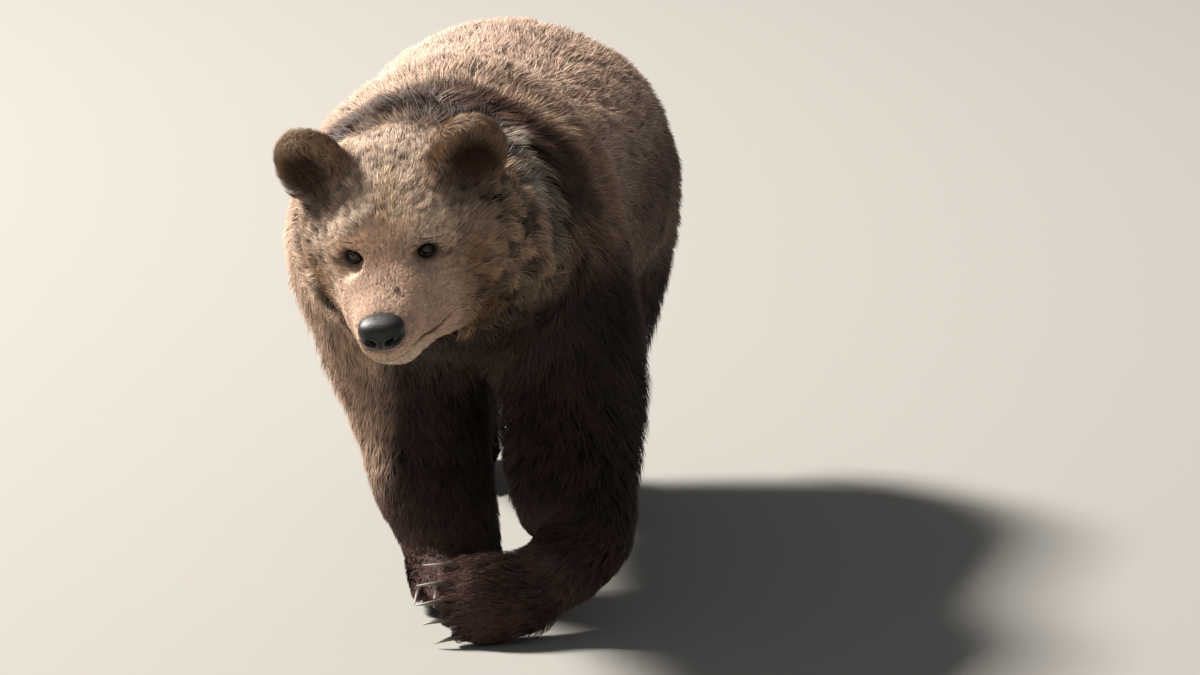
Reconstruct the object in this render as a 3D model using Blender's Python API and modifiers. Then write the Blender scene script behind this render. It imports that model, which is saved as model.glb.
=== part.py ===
"""Brown bear walking, life size, modelled whole as one smooth solid and parted with thin cuts.

The body is a distance field: oval tubes carried along splines for trunk, neck, legs, muzzle and tail, and
ellipsoids for skull, cheeks, ears and paws, joined with fillets. Its zero level is the outside of the coat.
The animal faces -Y, its left side is at +X, it stands on z = 0 and the units are metres.
"""

import math

import bmesh
import bpy
import numpy as np
import openvdb
from mathutils import Matrix, Vector

GAP = 0.0003  # between pieces that touch
GRID_STEP = 0.011  # fineness of the whole body before it is thinned
BODY_TRIANGLES = 3200  # kept of the body, and below of the face
FACE_TRIANGLES = 1200
CLAW_RADIUS = 0.0055  # at the root

# The head: its place, its turn in degrees, and what sits on it, in the head's own left, forward and up
HEAD_AT = np.array([-0.026, -0.462, 0.738])
HEAD_PITCH, HEAD_ROLL, HEAD_YAW = 24.5, -7.0, 2.0
EAR_AT = (0.119, -0.002, 0.072)
EAR_RADII = (0.064, 0.036, 0.074)
EYE_AT = (0.0545, 0.1240, -0.001)
EYE_RADIUS = 0.0125
NOSE_AT = (0.0, 0.300, -0.024)
NOSE_RADII = (0.034, 0.026, 0.026)

# Trunk from shoulders to rump: y, height of back, height of belly, half width
TRUNK = [
    (-0.18, 0.850, 0.470, 0.190),
    (-0.10, 0.872, 0.425, 0.228),
    (0.00, 0.887, 0.395, 0.255),
    (0.14, 0.864, 0.375, 0.264),
    (0.30, 0.840, 0.360, 0.282),
    (0.46, 0.844, 0.358, 0.306),
    (0.60, 0.858, 0.375, 0.296),
    (0.73, 0.838, 0.405, 0.262),
    (0.83, 0.780, 0.450, 0.205),
]
WIDEST = 0.43  # share of its height at which the trunk is widest
PEAK = 0.13  # how much the trunk narrows towards the back, beyond an oval

# Neck: x, y, z of its centre line, half width, height above the line, height below it
NECK = [
    (0.000, -0.04, 0.620, 0.225, 0.245, 0.200),
    (0.000, -0.18, 0.640, 0.228, 0.222, 0.190),
    (-0.004, -0.30, 0.660, 0.222, 0.192, 0.180),
    (-0.015, -0.40, 0.690, 0.185, 0.152, 0.160),
]

# Legs from the top down: x, y, z of the centre line, half width, half depth
LEGS = {
    "foreleg_left": [
        (0.130, -0.020, 0.680, 0.110, 0.165),
        (0.165, -0.060, 0.560, 0.125, 0.160),
        (0.197, -0.055, 0.430, 0.126, 0.138),
        (0.198, -0.090, 0.310, 0.126, 0.114),
        (0.209, -0.145, 0.215, 0.111, 0.096),
        (0.228, -0.190, 0.152, 0.086, 0.076),
        (0.205, -0.232, 0.112, 0.070, 0.066),
    ],
    "foreleg_right": [
        (-0.130, -0.020, 0.680, 0.110, 0.165),
        (-0.132, -0.030, 0.560, 0.132, 0.160),
        (-0.098, 0.000, 0.430, 0.140, 0.142),
        (-0.062, 0.005, 0.310, 0.124, 0.118),
        (-0.042, -0.010, 0.200, 0.108, 0.098),
        (-0.014, -0.025, 0.120, 0.090, 0.082),
        (-0.002, -0.035, 0.070, 0.078, 0.072),
    ],
    "hindleg_left": [
        (0.115, 0.700, 0.640, 0.145, 0.205),
        (0.145, 0.680, 0.510, 0.148, 0.205),
        (0.155, 0.625, 0.390, 0.124, 0.165),
        (0.140, 0.640, 0.260, 0.102, 0.118),
        (0.122, 0.680, 0.150, 0.082, 0.090),
        (0.116, 0.660, 0.075, 0.070, 0.074),
    ],
    "hindleg_right": [
        (-0.115, 0.720, 0.640, 0.145, 0.205),
        (-0.145, 0.720, 0.510, 0.148, 0.205),
        (-0.155, 0.715, 0.390, 0.124, 0.165),
        (-0.135, 0.790, 0.265, 0.102, 0.118),
        (-0.118, 0.875, 0.160, 0.082, 0.090),
        (-0.112, 0.885, 0.080, 0.070, 0.074),
    ],
}

# Paws: centre, direction of the toes, direction towards the outer toe, half length of the sole
PAWS = {
    "forepaw_left": ((0.120, -0.285, 0.071), (-0.90, -0.44, 0.01), (0.10, -0.42, -0.88), 0.085),
    "forepaw_right": ((0.004, -0.055, 0.044), (0.10, -0.99, 0.0), (-1.0, -0.10, 0.0), 0.085),
    "hindpaw_left": ((0.114, 0.580, 0.042), (0.03, -1.0, 0.0), (1.0, 0.03, 0.0), 0.110),
    "hindpaw_right": ((-0.110, 0.805, 0.042), (-0.03, -1.0, 0.0), (-1.0, 0.03, 0.0), 0.110),
}
TOES = range(-2, 3)  # from the innermost to the outermost
TOE_PITCH = 0.028
CLAW_LENGTH = {"forepaw": 0.046, "hindpaw": 0.032}

BRISKET = ((0.062, -0.020, 0.500), (0.060, 0.100, 0.100))  # hair between the forelegs: centre, radii
TAIL = [
    (0.0, 0.925, 0.715, 0.042, 0.030),
    (0.0, 0.978, 0.676, 0.046, 0.034),
    (0.0, 1.000, 0.622, 0.034, 0.028),
]

# Cheeks and jowls in the head's left, forward and up: centre, radii. The left ones are fuller, as the
# head is turned to its right.
CHEEKS = [
    ((0.074, 0.022, -0.048), (0.074, 0.104, 0.080)),
    ((-0.058, 0.022, -0.044), (0.074, 0.104, 0.078)),
    ((0.096, -0.005, -0.094), (0.076, 0.098, 0.100)),
    ((-0.064, -0.045, -0.078), (0.074, 0.085, 0.098)),
    ((0.066, 0.075, -0.108), (0.062, 0.092, 0.060)),
    ((-0.050, 0.060, -0.098), (0.058, 0.086, 0.056)),
    ((0.048, 0.135, -0.080), (0.042, 0.090, 0.046)),
    ((-0.040, 0.135, -0.078), (0.042, 0.090, 0.044)),
]

# Muzzle and lower jaw in the head's left, forward and up: centre, half width, height above, height below
MUZZLE = [
    (0, 0.040, -0.026, 0.090, 0.056, 0.080),
    (0, 0.105, -0.031, 0.078, 0.054, 0.074),
    (0, 0.165, -0.036, 0.065, 0.046, 0.066),
    (0, 0.220, -0.040, 0.055, 0.041, 0.061),
    (0, 0.260, -0.043, 0.051, 0.038, 0.058),
    (0, 0.282, -0.045, 0.044, 0.034, 0.050),
]
JAW = [
    (0, -0.020, -0.115, 0.112, 0.060, 0.070),
    (0, 0.080, -0.112, 0.092, 0.045, 0.055),
    (0, 0.165, -0.108, 0.060, 0.036, 0.040),
    (0, 0.232, -0.100, 0.042, 0.034, 0.031),
]

# Flat cuts: centre, the direction they face, radius
DISCS = {
    "head_neck": ((0.002, -0.345, 0.645), (0.0, -0.984, -0.180), 0.255),
    "neck_trunk": ((0.0, -0.190, 0.650), (0.0, -0.957, 0.289), 0.300),
    "elbow_left": ((0.198, -0.074, 0.330), (0.0, 0.0, 1.0), 0.140),
    "elbow_right": ((-0.073, 0.007, 0.323), (0.0, 0.0, 1.0), 0.148),
    "wrist_left": ((0.225, -0.190, 0.152), (0.2, 0.60, 0.77), 0.125),
    "wrist_right": ((-0.016, -0.022, 0.128), (0.0, 0.0, 1.0), 0.120),
    "knee_left": ((0.148, 0.624, 0.300), (0.0, 0.0, 1.0), 0.160),
    "knee_right": ((-0.145, 0.743, 0.300), (0.0, 0.0, 1.0), 0.182),
    "hock_left": ((0.119, 0.672, 0.120), (0.0, 0.0, 1.0), 0.108),
    "hock_right": ((-0.115, 0.880, 0.124), (0.0, 0.0, 1.0), 0.108),
    "tail_root": ((0.0, 0.972, 0.672), (0.0, 0.95, 0.31), 0.085),
}
# The same in the head's axes, for the root of the left ear
EAR_CUT = ((0.110, -0.021, 0.0555), (0.60, 0.0, 0.80), 0.086)

# Cuts round the roots of the legs: centre, radii, height of the lower edge
HOODS = {
    "shoulder_left": ((0.217, -0.078, 0.470), (0.153, 0.150, 0.180), 0.337),
    "shoulder_right": ((-0.132, 0.000, 0.480), (0.204, 0.170, 0.190), 0.330),
    "hip_left": ((0.175, 0.672, 0.470), (0.165, 0.235, 0.240), 0.312),
    "hip_right": ((-0.175, 0.725, 0.470), (0.165, 0.235, 0.240), 0.312),
}

# Where the middle of each part of the body is, near enough to tell it from the others, and its colour
PARTS = {
    "trunk": ((0.00, 0.35, 0.62), "fawn"),
    "neck": ((0.00, -0.29, 0.66), "fawn"),
    "head": ((-0.03, -0.53, 0.69), "fawn"),
    "ear_left": ((0.10, -0.46, 0.82), "brown"),
    "ear_right": ((-0.15, -0.46, 0.80), "brown"),
    "tail": ((0.00, 0.99, 0.66), "fawn"),
    "upper_arm_left": ((0.20, -0.06, 0.48), "brown"),
    "upper_arm_right": ((-0.15, -0.01, 0.48), "brown"),
    "forearm_left": ((0.21, -0.12, 0.25), "brown"),
    "forearm_right": ((-0.05, 0.00, 0.24), "brown"),
    "forepaw_left": ((0.14, -0.27, 0.08), "dark"),
    "forepaw_right": ((0.00, -0.05, 0.05), "dark"),
    "thigh_left": ((0.16, 0.66, 0.46), "fawn"),
    "thigh_right": ((-0.16, 0.72, 0.46), "fawn"),
    "shank_left": ((0.13, 0.65, 0.21), "brown"),
    "shank_right": ((-0.13, 0.82, 0.21), "brown"),
    "hindpaw_left": ((0.115, 0.60, 0.05), "dark"),
    "hindpaw_right": ((-0.11, 0.82, 0.05), "dark"),
}

COLOURS = {
    "fawn": (0.36, 0.25, 0.17),
    "brown": (0.13, 0.085, 0.06),
    "dark": (0.045, 0.03, 0.024),
    "claw": (0.20, 0.17, 0.14),
    "nose": (0.012, 0.012, 0.014),
    "eye": (0.02, 0.012, 0.008),
}


# ---- the field

def unit(v):
    v = np.asarray(v, float)
    return v / np.linalg.norm(v)


def head_axes():
    """Rows are the head's left, forward and up: pitched, then rolled, then turned."""
    p, r, y = np.radians([HEAD_PITCH, HEAD_ROLL, HEAD_YAW])
    left, up = np.array([1.0, 0, 0]), np.array([0, -math.sin(p), math.cos(p)])
    fore = np.array([0, -math.cos(p), -math.sin(p)])
    left, up = left * math.cos(r) - up * math.sin(r), up * math.cos(r) + left * math.sin(r)
    turn = np.array([[math.cos(y), math.sin(y), 0], [-math.sin(y), math.cos(y), 0], [0, 0, 1]])
    return np.array([left, fore, up]) @ turn


def in_head(points):
    """World points in the head's left, forward and up."""
    return (points - HEAD_AT) @ head_axes().T


def out_of_head(local):
    """The head's left, forward and up as world points."""
    return HEAD_AT + np.asarray(local, float) @ head_axes()


def join(a, b, blend):
    """Smooth minimum: the union of two solids with a fillet about as wide as blend."""
    h = np.clip(0.5 + 0.5 * (b - a) / blend, 0.0, 1.0)
    return b + (a - b) * h - blend * h * (1.0 - h)


def carve(a, b, blend):
    """Solid a with solid b taken away, and the edge rounded."""
    return -join(-a, b, blend)


def oval(local, radii):
    """Close to the surface this is the distance to the ellipsoid with these radii."""
    q = np.linalg.norm(local / radii, axis=1)
    g = np.linalg.norm(local / radii**2, axis=1)
    return np.where(q > 1e-6, q * (q - 1) / np.maximum(g, 1e-9), -radii.min(-1))


def blob(points, centre, radii):
    """An ellipsoid with its axes along the coordinate axes."""
    return oval(points - np.asarray(centre, float), np.asarray(radii, float))


def spline(rows, count):
    """Points on the Catmull-Rom spline through rows, evenly spaced in its parameter."""
    rows = np.asarray(rows, float)
    ends = np.vstack([2 * rows[0] - rows[1], rows, 2 * rows[-1] - rows[-2]])
    t = np.linspace(0, len(rows) - 1, count)
    i = np.minimum(t.astype(int), len(rows) - 2)
    u = (t - i)[:, None]
    a, b, c, d = (ends[i + k] for k in range(4))
    bend = (2 * a - 5 * b + 4 * c - d) * u**2 + (3 * b - a - 3 * c + d) * u**3
    return 0.5 * (2 * b + (c - a) * u + bend)


def tube(points, rows, count, peak=0.0):
    """Distance to a tube of oval sections, whose sizes and turns change smoothly along its line.

    Each point is measured in the section whose plane it lies in. The first and last sections end in domes.
    """
    stations = spline(rows, count)
    line, size = stations[:, :3], stations[:, 3:]
    if size.shape[1] == 2:
        size = size[:, [0, 1, 1]]
    along = np.gradient(line, axis=0)
    along /= np.linalg.norm(along, axis=1)[:, None]
    up = np.cross([1.0, 0.0, 0.0], along)
    up /= np.linalg.norm(up, axis=1)[:, None]
    if abs(up[:, 2].sum()) > abs(up[:, 1].sum()) and up[:, 2].sum() < 0:
        up = -up
    side = np.cross(along, up)
    ahead = points @ along.T - (line * along).sum(1)
    nearest = np.full(len(points), 1e3)
    for i in range(-1, count):
        before, after = max(i, 0), min(i + 1, count - 1)
        inside = (i < 0) | (ahead[:, before] >= 0)
        hit = np.flatnonzero(inside & ((i == count - 1) | (ahead[:, after] < 0)))
        t = np.zeros((len(hit), 1))
        if before != after:
            t[:, 0] = ahead[hit, before] / (ahead[hit, before] - ahead[hit, after])
        v = points[hit] - line[before] * (1 - t) - line[after] * t
        across, high, far = (
            (v * (a[before] * (1 - t) + a[after] * t)).sum(1) for a in (side, up, along)
        )
        wide, above, below = (size[before] * (1 - t) + size[after] * t).T
        dome = np.minimum(wide, np.minimum(above, below))
        across = across * (1 + peak * np.clip(high / above, 0, 1))
        radii = np.stack([wide, np.where(high > 0, above, below), dome], 1)
        nearest[hit] = np.minimum(nearest[hit], oval(np.stack([across, high, far], 1), radii))
    return nearest


def head_field(points):
    """Skull, brow, cheeks and jowls of the coat, muzzle, jaw and throat, with the hollows of the eyes."""
    p = in_head(points)
    f = blob(p, (0, -0.035, 0.0), (0.122, 0.118, 0.090))
    f = join(f, blob(p, (0, 0.068, 0.006), (0.086, 0.082, 0.066)), 0.05)
    for centre, radii in CHEEKS:
        f = join(f, blob(p, centre, radii), 0.045)
    for s in (-1, 1):
        f = join(f, blob(p, (s * 0.046, 0.100, 0.019), (0.036, 0.036, 0.024)), 0.03)
    f = join(f, tube(p, MUZZLE, 12), 0.05)
    f = join(f, tube(p, JAW, 9), 0.03)
    f = join(f, blob(p, (0, -0.050, -0.110), (0.120, 0.110, 0.085)), 0.05)
    for s in (-1, 1):
        f = carve(f, blob(p, (s * 0.061, 0.150, 0.001), (0.024, 0.020, 0.017)), 0.016)
    return f


def ear_axes(s):
    """Rows are the ear's across, facing and tall directions in the head's axes."""
    face = unit((s * 0.34, 0.94, 0.0))
    tall = np.array([s * 0.42, 0.0, 0.90])
    tall = unit(tall - face * (tall @ face))
    return np.array([np.cross(face, tall), face, tall])


def ear_field(points, s):
    """A thick oval leaf, hollowed in front; s is 1 for the left ear and -1 for the right."""
    q = (in_head(points) - np.array(EAR_AT) * (s, 1, 1)) @ ear_axes(s).T
    f = blob(q, (0, 0, 0), EAR_RADII)
    return carve(f, blob(q, (0, 0.048, 0.004), (0.044, 0.026, 0.048)), 0.016)


def paw_axes(name):
    """Rows are the paw's outward, toe and top directions."""
    toe = unit(PAWS[name][1])
    out = np.asarray(PAWS[name][2], float)
    out = unit(out - toe * (out @ toe))
    top = np.cross(out, toe)
    return np.array([out, toe, top if top[2] > 0 else -top])


def toe_at(name, k):
    """Middle of toe k in the paw's axes: the middle toe reaches furthest."""
    return np.array([k * TOE_PITCH, PAWS[name][3] + 0.008 - 0.008 * abs(k) ** 1.6, -0.010])


def paw_field(points, name):
    """A low oval pad, a wider front, and five toes side by side."""
    p = (points - np.array(PAWS[name][0])) @ paw_axes(name).T
    half = PAWS[name][3]
    wide = 0.076 if name.startswith("fore") else 0.068
    f = blob(p, (0, -0.01, 0.0), (wide, half, 0.046))
    f = join(f, blob(p, (0, half * 0.5, -0.004), (wide, 0.055, 0.038)), 0.03)
    for k in TOES:
        f = join(f, blob(p, toe_at(name, k), (0.0175, 0.034, 0.022)), 0.012)
    return f


def trunk_rows():
    """The table of back and belly heights as centre line, half width, height above and height below."""
    rows = []
    for y, back, belly, half in TRUNK:
        z = belly + WIDEST * (back - belly)
        rows.append((0.0, y, z, half, back - z, z - belly))
    return rows


def bear_field(points):
    """Negative inside the bear and zero on the outside of its coat."""
    f = tube(points, trunk_rows(), 18, PEAK)
    f = join(f, tube(points, NECK, 9), 0.12)
    f = join(f, head_field(points), 0.05)
    f = join(f, blob(points, *BRISKET), 0.05)
    legs = np.full(len(points), 1e3)
    for name, rows in LEGS.items():
        leg = tube(points, rows, 16)
        legs = np.minimum(legs, join(leg, paw_field(points, name.replace("leg", "paw")), 0.035))
    f = join(f, legs, 0.07)
    f = join(f, tube(points, TAIL, 6), 0.03)
    for s in (-1, 1):
        f = join(f, ear_field(points, s), 0.022)
    return f


def sampled(field, low, high, step):
    """The field on a grid: worked out near the surface, and read from a four times coarser grid elsewhere."""
    coarse = 4
    n = np.ceil((high - low) / step / coarse).astype(int) * coarse
    places = (low[k] + step * np.arange(0, n[k] + 1, coarse) for k in range(3))
    rough = np.stack(np.meshgrid(*places, indexing="ij"), -1)
    dense = field(rough.reshape(-1, 3)).reshape(rough.shape[:3])
    for k in range(3):
        at = np.arange(n[k] + 1) / coarse
        i = np.minimum(at.astype(int), dense.shape[k] - 2)
        t = (at - i).reshape([-1 if j == k else 1 for j in range(3)])
        dense = np.take(dense, i, axis=k) * (1 - t) + np.take(dense, i + 1, axis=k) * t
    near = np.abs(dense) < step * coarse * 1.3
    dense[near] = field(low + np.argwhere(near) * step)
    return dense.astype(np.float32)


# ---- building


def mesh_object(name, mesh, collection):
    """A new object with this mesh in the collection."""
    obj = bpy.data.objects.new(name, mesh)
    collection.objects.link(obj)
    return obj


def baked(obj):
    """The object's mesh with its modifiers applied."""
    bpy.context.view_layer.update()
    graph = bpy.context.evaluated_depsgraph_get()
    mesh = bpy.data.meshes.new_from_object(obj.evaluated_get(graph))
    obj.modifiers.clear()
    obj.data = mesh
    return obj


def cut(obj, cutter):
    """Takes the cutter's volume out of the object."""
    boolean = obj.modifiers.new(cutter.name, "BOOLEAN")
    boolean.operation = "DIFFERENCE"
    boolean.solver = "EXACT"
    boolean.object = cutter
    return baked(obj)


def whole_body(collection):
    """The bear as one closed mesh: the field's zero level, thinned on the body and then on the face."""
    low, high = np.array([-0.40, -0.84, -0.04]), np.array([0.42, 1.10, 0.96])
    grid = openvdb.FloatGrid(GRID_STEP * 8)
    grid.copyFromArray(sampled(bear_field, low, high, GRID_STEP))
    points, quads = grid.convertToQuads(0.0)
    mesh = bpy.data.meshes.new("body")
    mesh.from_pydata((points * GRID_STEP + low).tolist(), [], quads.tolist())
    bm = bmesh.new()
    bm.from_mesh(mesh)
    bmesh.ops.recalc_face_normals(bm, faces=bm.faces)
    bmesh.ops.triangulate(bm, faces=bm.faces)
    bm.to_mesh(mesh)
    bm.free()
    body = mesh_object("body", mesh, collection)
    local = in_head(np.array([v.co[:] for v in mesh.vertices]))
    face = (local[:, 1] > -0.06) & (np.abs(local[:, 0]) < 0.2) & (local[:, 2] > -0.15)
    on_face = face[np.array([f.vertices[:] for f in mesh.polygons])].all(1)
    thinned(body, "body", ~face, (~on_face).sum(), BODY_TRIANGLES, len(on_face))
    thinned(body, "face", face, on_face.sum(), FACE_TRIANGLES, on_face.sum() + BODY_TRIANGLES)
    return baked(body)


def thinned(obj, name, chosen, now, wanted, total):
    """Thins the chosen vertices' part of the mesh from now to wanted triangles, of total at this step."""
    obj.vertex_groups.new(name=name).add(np.flatnonzero(chosen).tolist(), 1.0, "REPLACE")
    thin = obj.modifiers.new(name, "DECIMATE")
    thin.vertex_group = name
    thin.ratio = float(total - now + wanted) / total


def placed(name, bm, matrix, collection):
    """A new object with this shape, put where the matrix says, all its faces turned outward."""
    bmesh.ops.transform(bm, matrix=matrix, verts=bm.verts)
    bmesh.ops.recalc_face_normals(bm, faces=bm.faces)
    mesh = bpy.data.meshes.new(name)
    bm.to_mesh(mesh)
    bm.free()
    return mesh_object(name, mesh, collection)


def disc(name, centre, normal, radius, collection):
    """A round cutter as thin as the gap, square to normal."""
    bm = bmesh.new()
    bmesh.ops.create_cone(bm, cap_ends=True, segments=28, radius1=radius, radius2=radius, depth=GAP)
    turn = Vector(normal).to_track_quat("Z", "Y").to_matrix().to_4x4()
    return placed(name, bm, Matrix.Translation(Vector(centre)) @ turn, collection)


def hood(name, centre, radii, hem, collection):
    """A thin dome over the root of a leg, with straight sides down to the height hem."""
    bm = bmesh.new()
    bmesh.ops.create_uvsphere(bm, u_segments=16, v_segments=8, radius=1.0)
    lower = [v for v in bm.verts if v.co.z < -1e-6]
    bmesh.ops.delete(bm, geom=lower, context="VERTS")
    rim = [e for e in bm.edges if e.is_boundary]
    sides = bmesh.ops.extrude_edge_only(bm, edges=rim)["geom"]
    for v in sides:
        if isinstance(v, bmesh.types.BMVert):
            v.co.z = (hem - centre[2]) / radii[2]
    shell = placed(name, bm, Matrix.Translation(Vector(centre)) @ Matrix.Diagonal((*radii, 1)), collection)
    wall = shell.modifiers.new("wall", "SOLIDIFY")
    wall.thickness = GAP
    wall.offset = 0.0
    baked(shell)
    bm = bmesh.new()
    bm.from_mesh(shell.data)
    bmesh.ops.recalc_face_normals(bm, faces=bm.faces)
    bm.to_mesh(shell.data)
    bm.free()
    return shell


def eyeball(name, s, grow, collection):
    """The left eye for s = 1 and the right for -1, larger by grow when it cuts its own socket."""
    bm = bmesh.new()
    bmesh.ops.create_uvsphere(bm, u_segments=12, v_segments=8, radius=EYE_RADIUS + grow)
    at = out_of_head(np.array(EYE_AT) * (s, 1, 1))
    axes = Matrix(head_axes().tolist()).transposed().to_4x4()
    return placed(name, bm, Matrix.Translation(Vector(at)) @ axes, collection)


def nose_pad(name, grow, collection):
    """A rounded wedge, wider at its top, flat in front."""
    bm = bmesh.new()
    bmesh.ops.create_uvsphere(bm, u_segments=16, v_segments=10, radius=1.0)
    for v in bm.verts:
        v.co = Vector(math.copysign(abs(c) ** 0.8, c) for c in v.co)
        v.co.x *= 1 + 0.18 * v.co.z
        v.co = Vector(c * (r + grow) for c, r in zip(v.co, NOSE_RADII))
    axes = Matrix(head_axes().tolist()).transposed().to_4x4()
    return placed(name, bm, Matrix.Translation(Vector(out_of_head(NOSE_AT))) @ axes, collection)


def claw(name, paw, k, grow, collection):
    """A tapered claw curving down from the end of toe k, made as a curve with a radius at each point."""
    axes, (start, length) = paw_axes(paw), (toe_at(paw, k), CLAW_LENGTH[paw.split("_")[0]])
    line = bpy.data.curves.new(name, "CURVE")
    line.dimensions = "3D"
    line.bevel_depth = 1.0
    line.bevel_resolution = 0
    line.use_fill_caps = True
    path = line.splines.new("POLY")
    path.points.add(4)
    for i, point in enumerate(path.points):
        t = i / 4
        local = start + (0.004 * k * t, 0.016 + length * t, 0.008 - 0.016 * t**2)
        point.co = (*(np.array(PAWS[paw][0]) + local @ axes), 1.0)
        point.radius = CLAW_RADIUS * (1 - 0.85 * t**1.5) + grow
    curve = bpy.data.objects.new(name, line)
    collection.objects.link(curve)
    bpy.context.view_layer.update()
    mesh = bpy.data.meshes.new_from_object(curve.evaluated_get(bpy.context.evaluated_depsgraph_get()))
    bpy.data.objects.remove(curve)
    bm = bmesh.new()
    bm.from_mesh(mesh)
    bmesh.ops.remove_doubles(bm, verts=bm.verts, dist=1e-5)
    bmesh.ops.recalc_face_normals(bm, faces=bm.faces)
    bm.to_mesh(mesh)
    bm.free()
    return mesh_object(name, mesh, collection)


def cutters(collection):
    """Every thin cutter, the sockets of eyes, nose and claws, and the block that flattens the soles."""
    made = [disc(name, *values, collection) for name, values in DISCS.items()]
    made += [hood(name, *values, collection) for name, values in HOODS.items()]
    for side, s in (("left", 1), ("right", -1)):
        centre, facing = (np.array(v) * (s, 1, 1) for v in EAR_CUT[:2])
        centre, facing = out_of_head(centre), facing @ head_axes()
        made.append(disc("ear_root_" + side, centre, facing, EAR_CUT[2], collection))
        made.append(eyeball("eye_socket_" + side, s, GAP, collection))
    made.append(nose_pad("nose_socket", GAP, collection))
    for paw in PAWS:
        made += [claw(f"{paw}_socket_{k + 3}", paw, k, GAP, collection) for k in TOES]
    bm = bmesh.new()
    bmesh.ops.create_cube(bm, size=1.0)
    below = Matrix.Translation((0, 0.1, -0.25)) @ Matrix.Diagonal((2.0, 3.0, 0.5, 1.0))
    made.append(placed("floor", bm, below, collection))
    for obj in made:
        obj.hide_render = True
        obj.display_type = "WIRE"
    return made


def loose_parts(body, collection):
    """Each closed piece of the cut body as an object of its own."""
    bm = bmesh.new()
    bm.from_mesh(body.data)
    pieces, left = [], set(bm.verts)
    while left:
        piece, front = set(), [next(iter(left))]
        while front:
            vert = front.pop()
            if vert in piece:
                continue
            piece.add(vert)
            front += [edge.other_vert(vert) for edge in vert.link_edges]
        left -= piece
        pieces.append(piece)
    objects = []
    for piece in pieces:
        number = {v: i for i, v in enumerate(sorted(piece, key=lambda v: v.index))}
        faces = [[number[v] for v in f.verts] for f in bm.faces if f.verts[0] in piece]
        mesh = bpy.data.meshes.new("piece")
        mesh.from_pydata([v.co[:] for v in number], [], faces)
        objects.append(mesh_object("piece", mesh, collection))
    bm.free()
    bpy.data.objects.remove(body)
    return objects


def material(name, colour, roughness):
    """One coat of a plain colour, for one part."""
    mat = bpy.data.materials.new(name)
    mat.use_nodes = True
    shader = mat.node_tree.nodes["Principled BSDF"]
    shader.inputs["Base Color"].default_value = (*colour, 1.0)
    shader.inputs["Roughness"].default_value = roughness
    return mat


def name_parts(objects):
    """Names each piece by the nearest of the places in PARTS, and gives it its colour."""
    for obj in objects:
        corners = np.array([c[:] for c in obj.bound_box])
        middle = (corners.min(0) + corners.max(0)) / 2
        name = min(PARTS, key=lambda n: np.linalg.norm(middle - np.array(PARTS[n][0])))
        obj.name = name
        obj.data.materials.append(material(name + "_coat", COLOURS[PARTS[name][1]], 0.85))


def build():
    """The whole bear, moved so that the middle of its box stands over the origin."""
    for obj in list(bpy.data.objects):
        bpy.data.objects.remove(obj)
    scene = bpy.context.scene.collection
    bear, tools = (bpy.data.collections.new(n) for n in ("brown_bear", "cutters"))
    scene.children.link(bear)
    scene.children.link(tools)
    body = whole_body(bear)
    for cutter in cutters(tools):
        cut(body, cutter)
    name_parts(loose_parts(body, bear))
    for side, s in (("left", 1), ("right", -1)):
        eye = eyeball("eye_" + side, s, 0.0, bear)
        eye.data.materials.append(material(eye.name, COLOURS["eye"], 0.05))
    nose = nose_pad("nose", 0.0, bear)
    nose.data.materials.append(material("nose", COLOURS["nose"], 0.35))
    for paw in PAWS:
        for k in TOES:
            nail = claw(f"claw_{paw}_{k + 3}", paw, k, 0.0, bear)
            nail.data.materials.append(material(nail.name, COLOURS["claw"], 0.4))
    bpy.context.view_layer.update()
    corners = np.array([o.matrix_world @ v.co for o in bear.objects for v in o.data.vertices])
    middle = (corners.min(0) + corners.max(0)) / 2
    for obj in bear.objects:
        obj.location = (-middle[0], -middle[1], 0.0)


build()
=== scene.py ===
# %% [markdown]
# # A brown bear, life size
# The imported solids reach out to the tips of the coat, as a museum's scan of the animal would. Here they
# get what lies under that outline: a skin, eyes, nose and claws, and a coat of a few hundred thousand
# tufts of hair. The solids are loaded first and stay where they are, because every new piece is placed
# by them.

# %% Load the solids
import math

import bmesh
import bpy
import numpy as np
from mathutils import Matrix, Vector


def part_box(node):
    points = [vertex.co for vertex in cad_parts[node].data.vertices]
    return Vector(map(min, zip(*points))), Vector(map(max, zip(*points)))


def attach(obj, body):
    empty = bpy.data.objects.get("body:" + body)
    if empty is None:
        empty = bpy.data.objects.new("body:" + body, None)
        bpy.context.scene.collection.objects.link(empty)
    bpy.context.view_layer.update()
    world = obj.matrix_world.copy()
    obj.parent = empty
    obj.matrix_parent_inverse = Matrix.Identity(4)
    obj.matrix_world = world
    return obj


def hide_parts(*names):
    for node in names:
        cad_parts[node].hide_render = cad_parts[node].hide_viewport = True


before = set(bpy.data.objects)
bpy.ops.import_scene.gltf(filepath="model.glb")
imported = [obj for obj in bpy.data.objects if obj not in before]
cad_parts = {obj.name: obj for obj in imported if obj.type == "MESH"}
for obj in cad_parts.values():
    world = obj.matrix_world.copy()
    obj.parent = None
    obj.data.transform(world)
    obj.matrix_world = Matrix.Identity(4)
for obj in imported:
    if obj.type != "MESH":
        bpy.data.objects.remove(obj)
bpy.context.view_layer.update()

import openvdb
from mathutils import Matrix

rng = np.random.default_rng(7)

# %% [markdown]
# ## The outline as a distance field
# A bear is one soft form without edges. It could be sculpted, or built from a subdivided cage. It is
# written as a function of space, because then one formula gives the outline, the skin under the fur and
# the height of each hair. The function is negative inside, zero at the tips of the coat, and close to
# the distance in metres near them. The bear faces -Y, its left side is at +X, and z = 0 is the floor.

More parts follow.
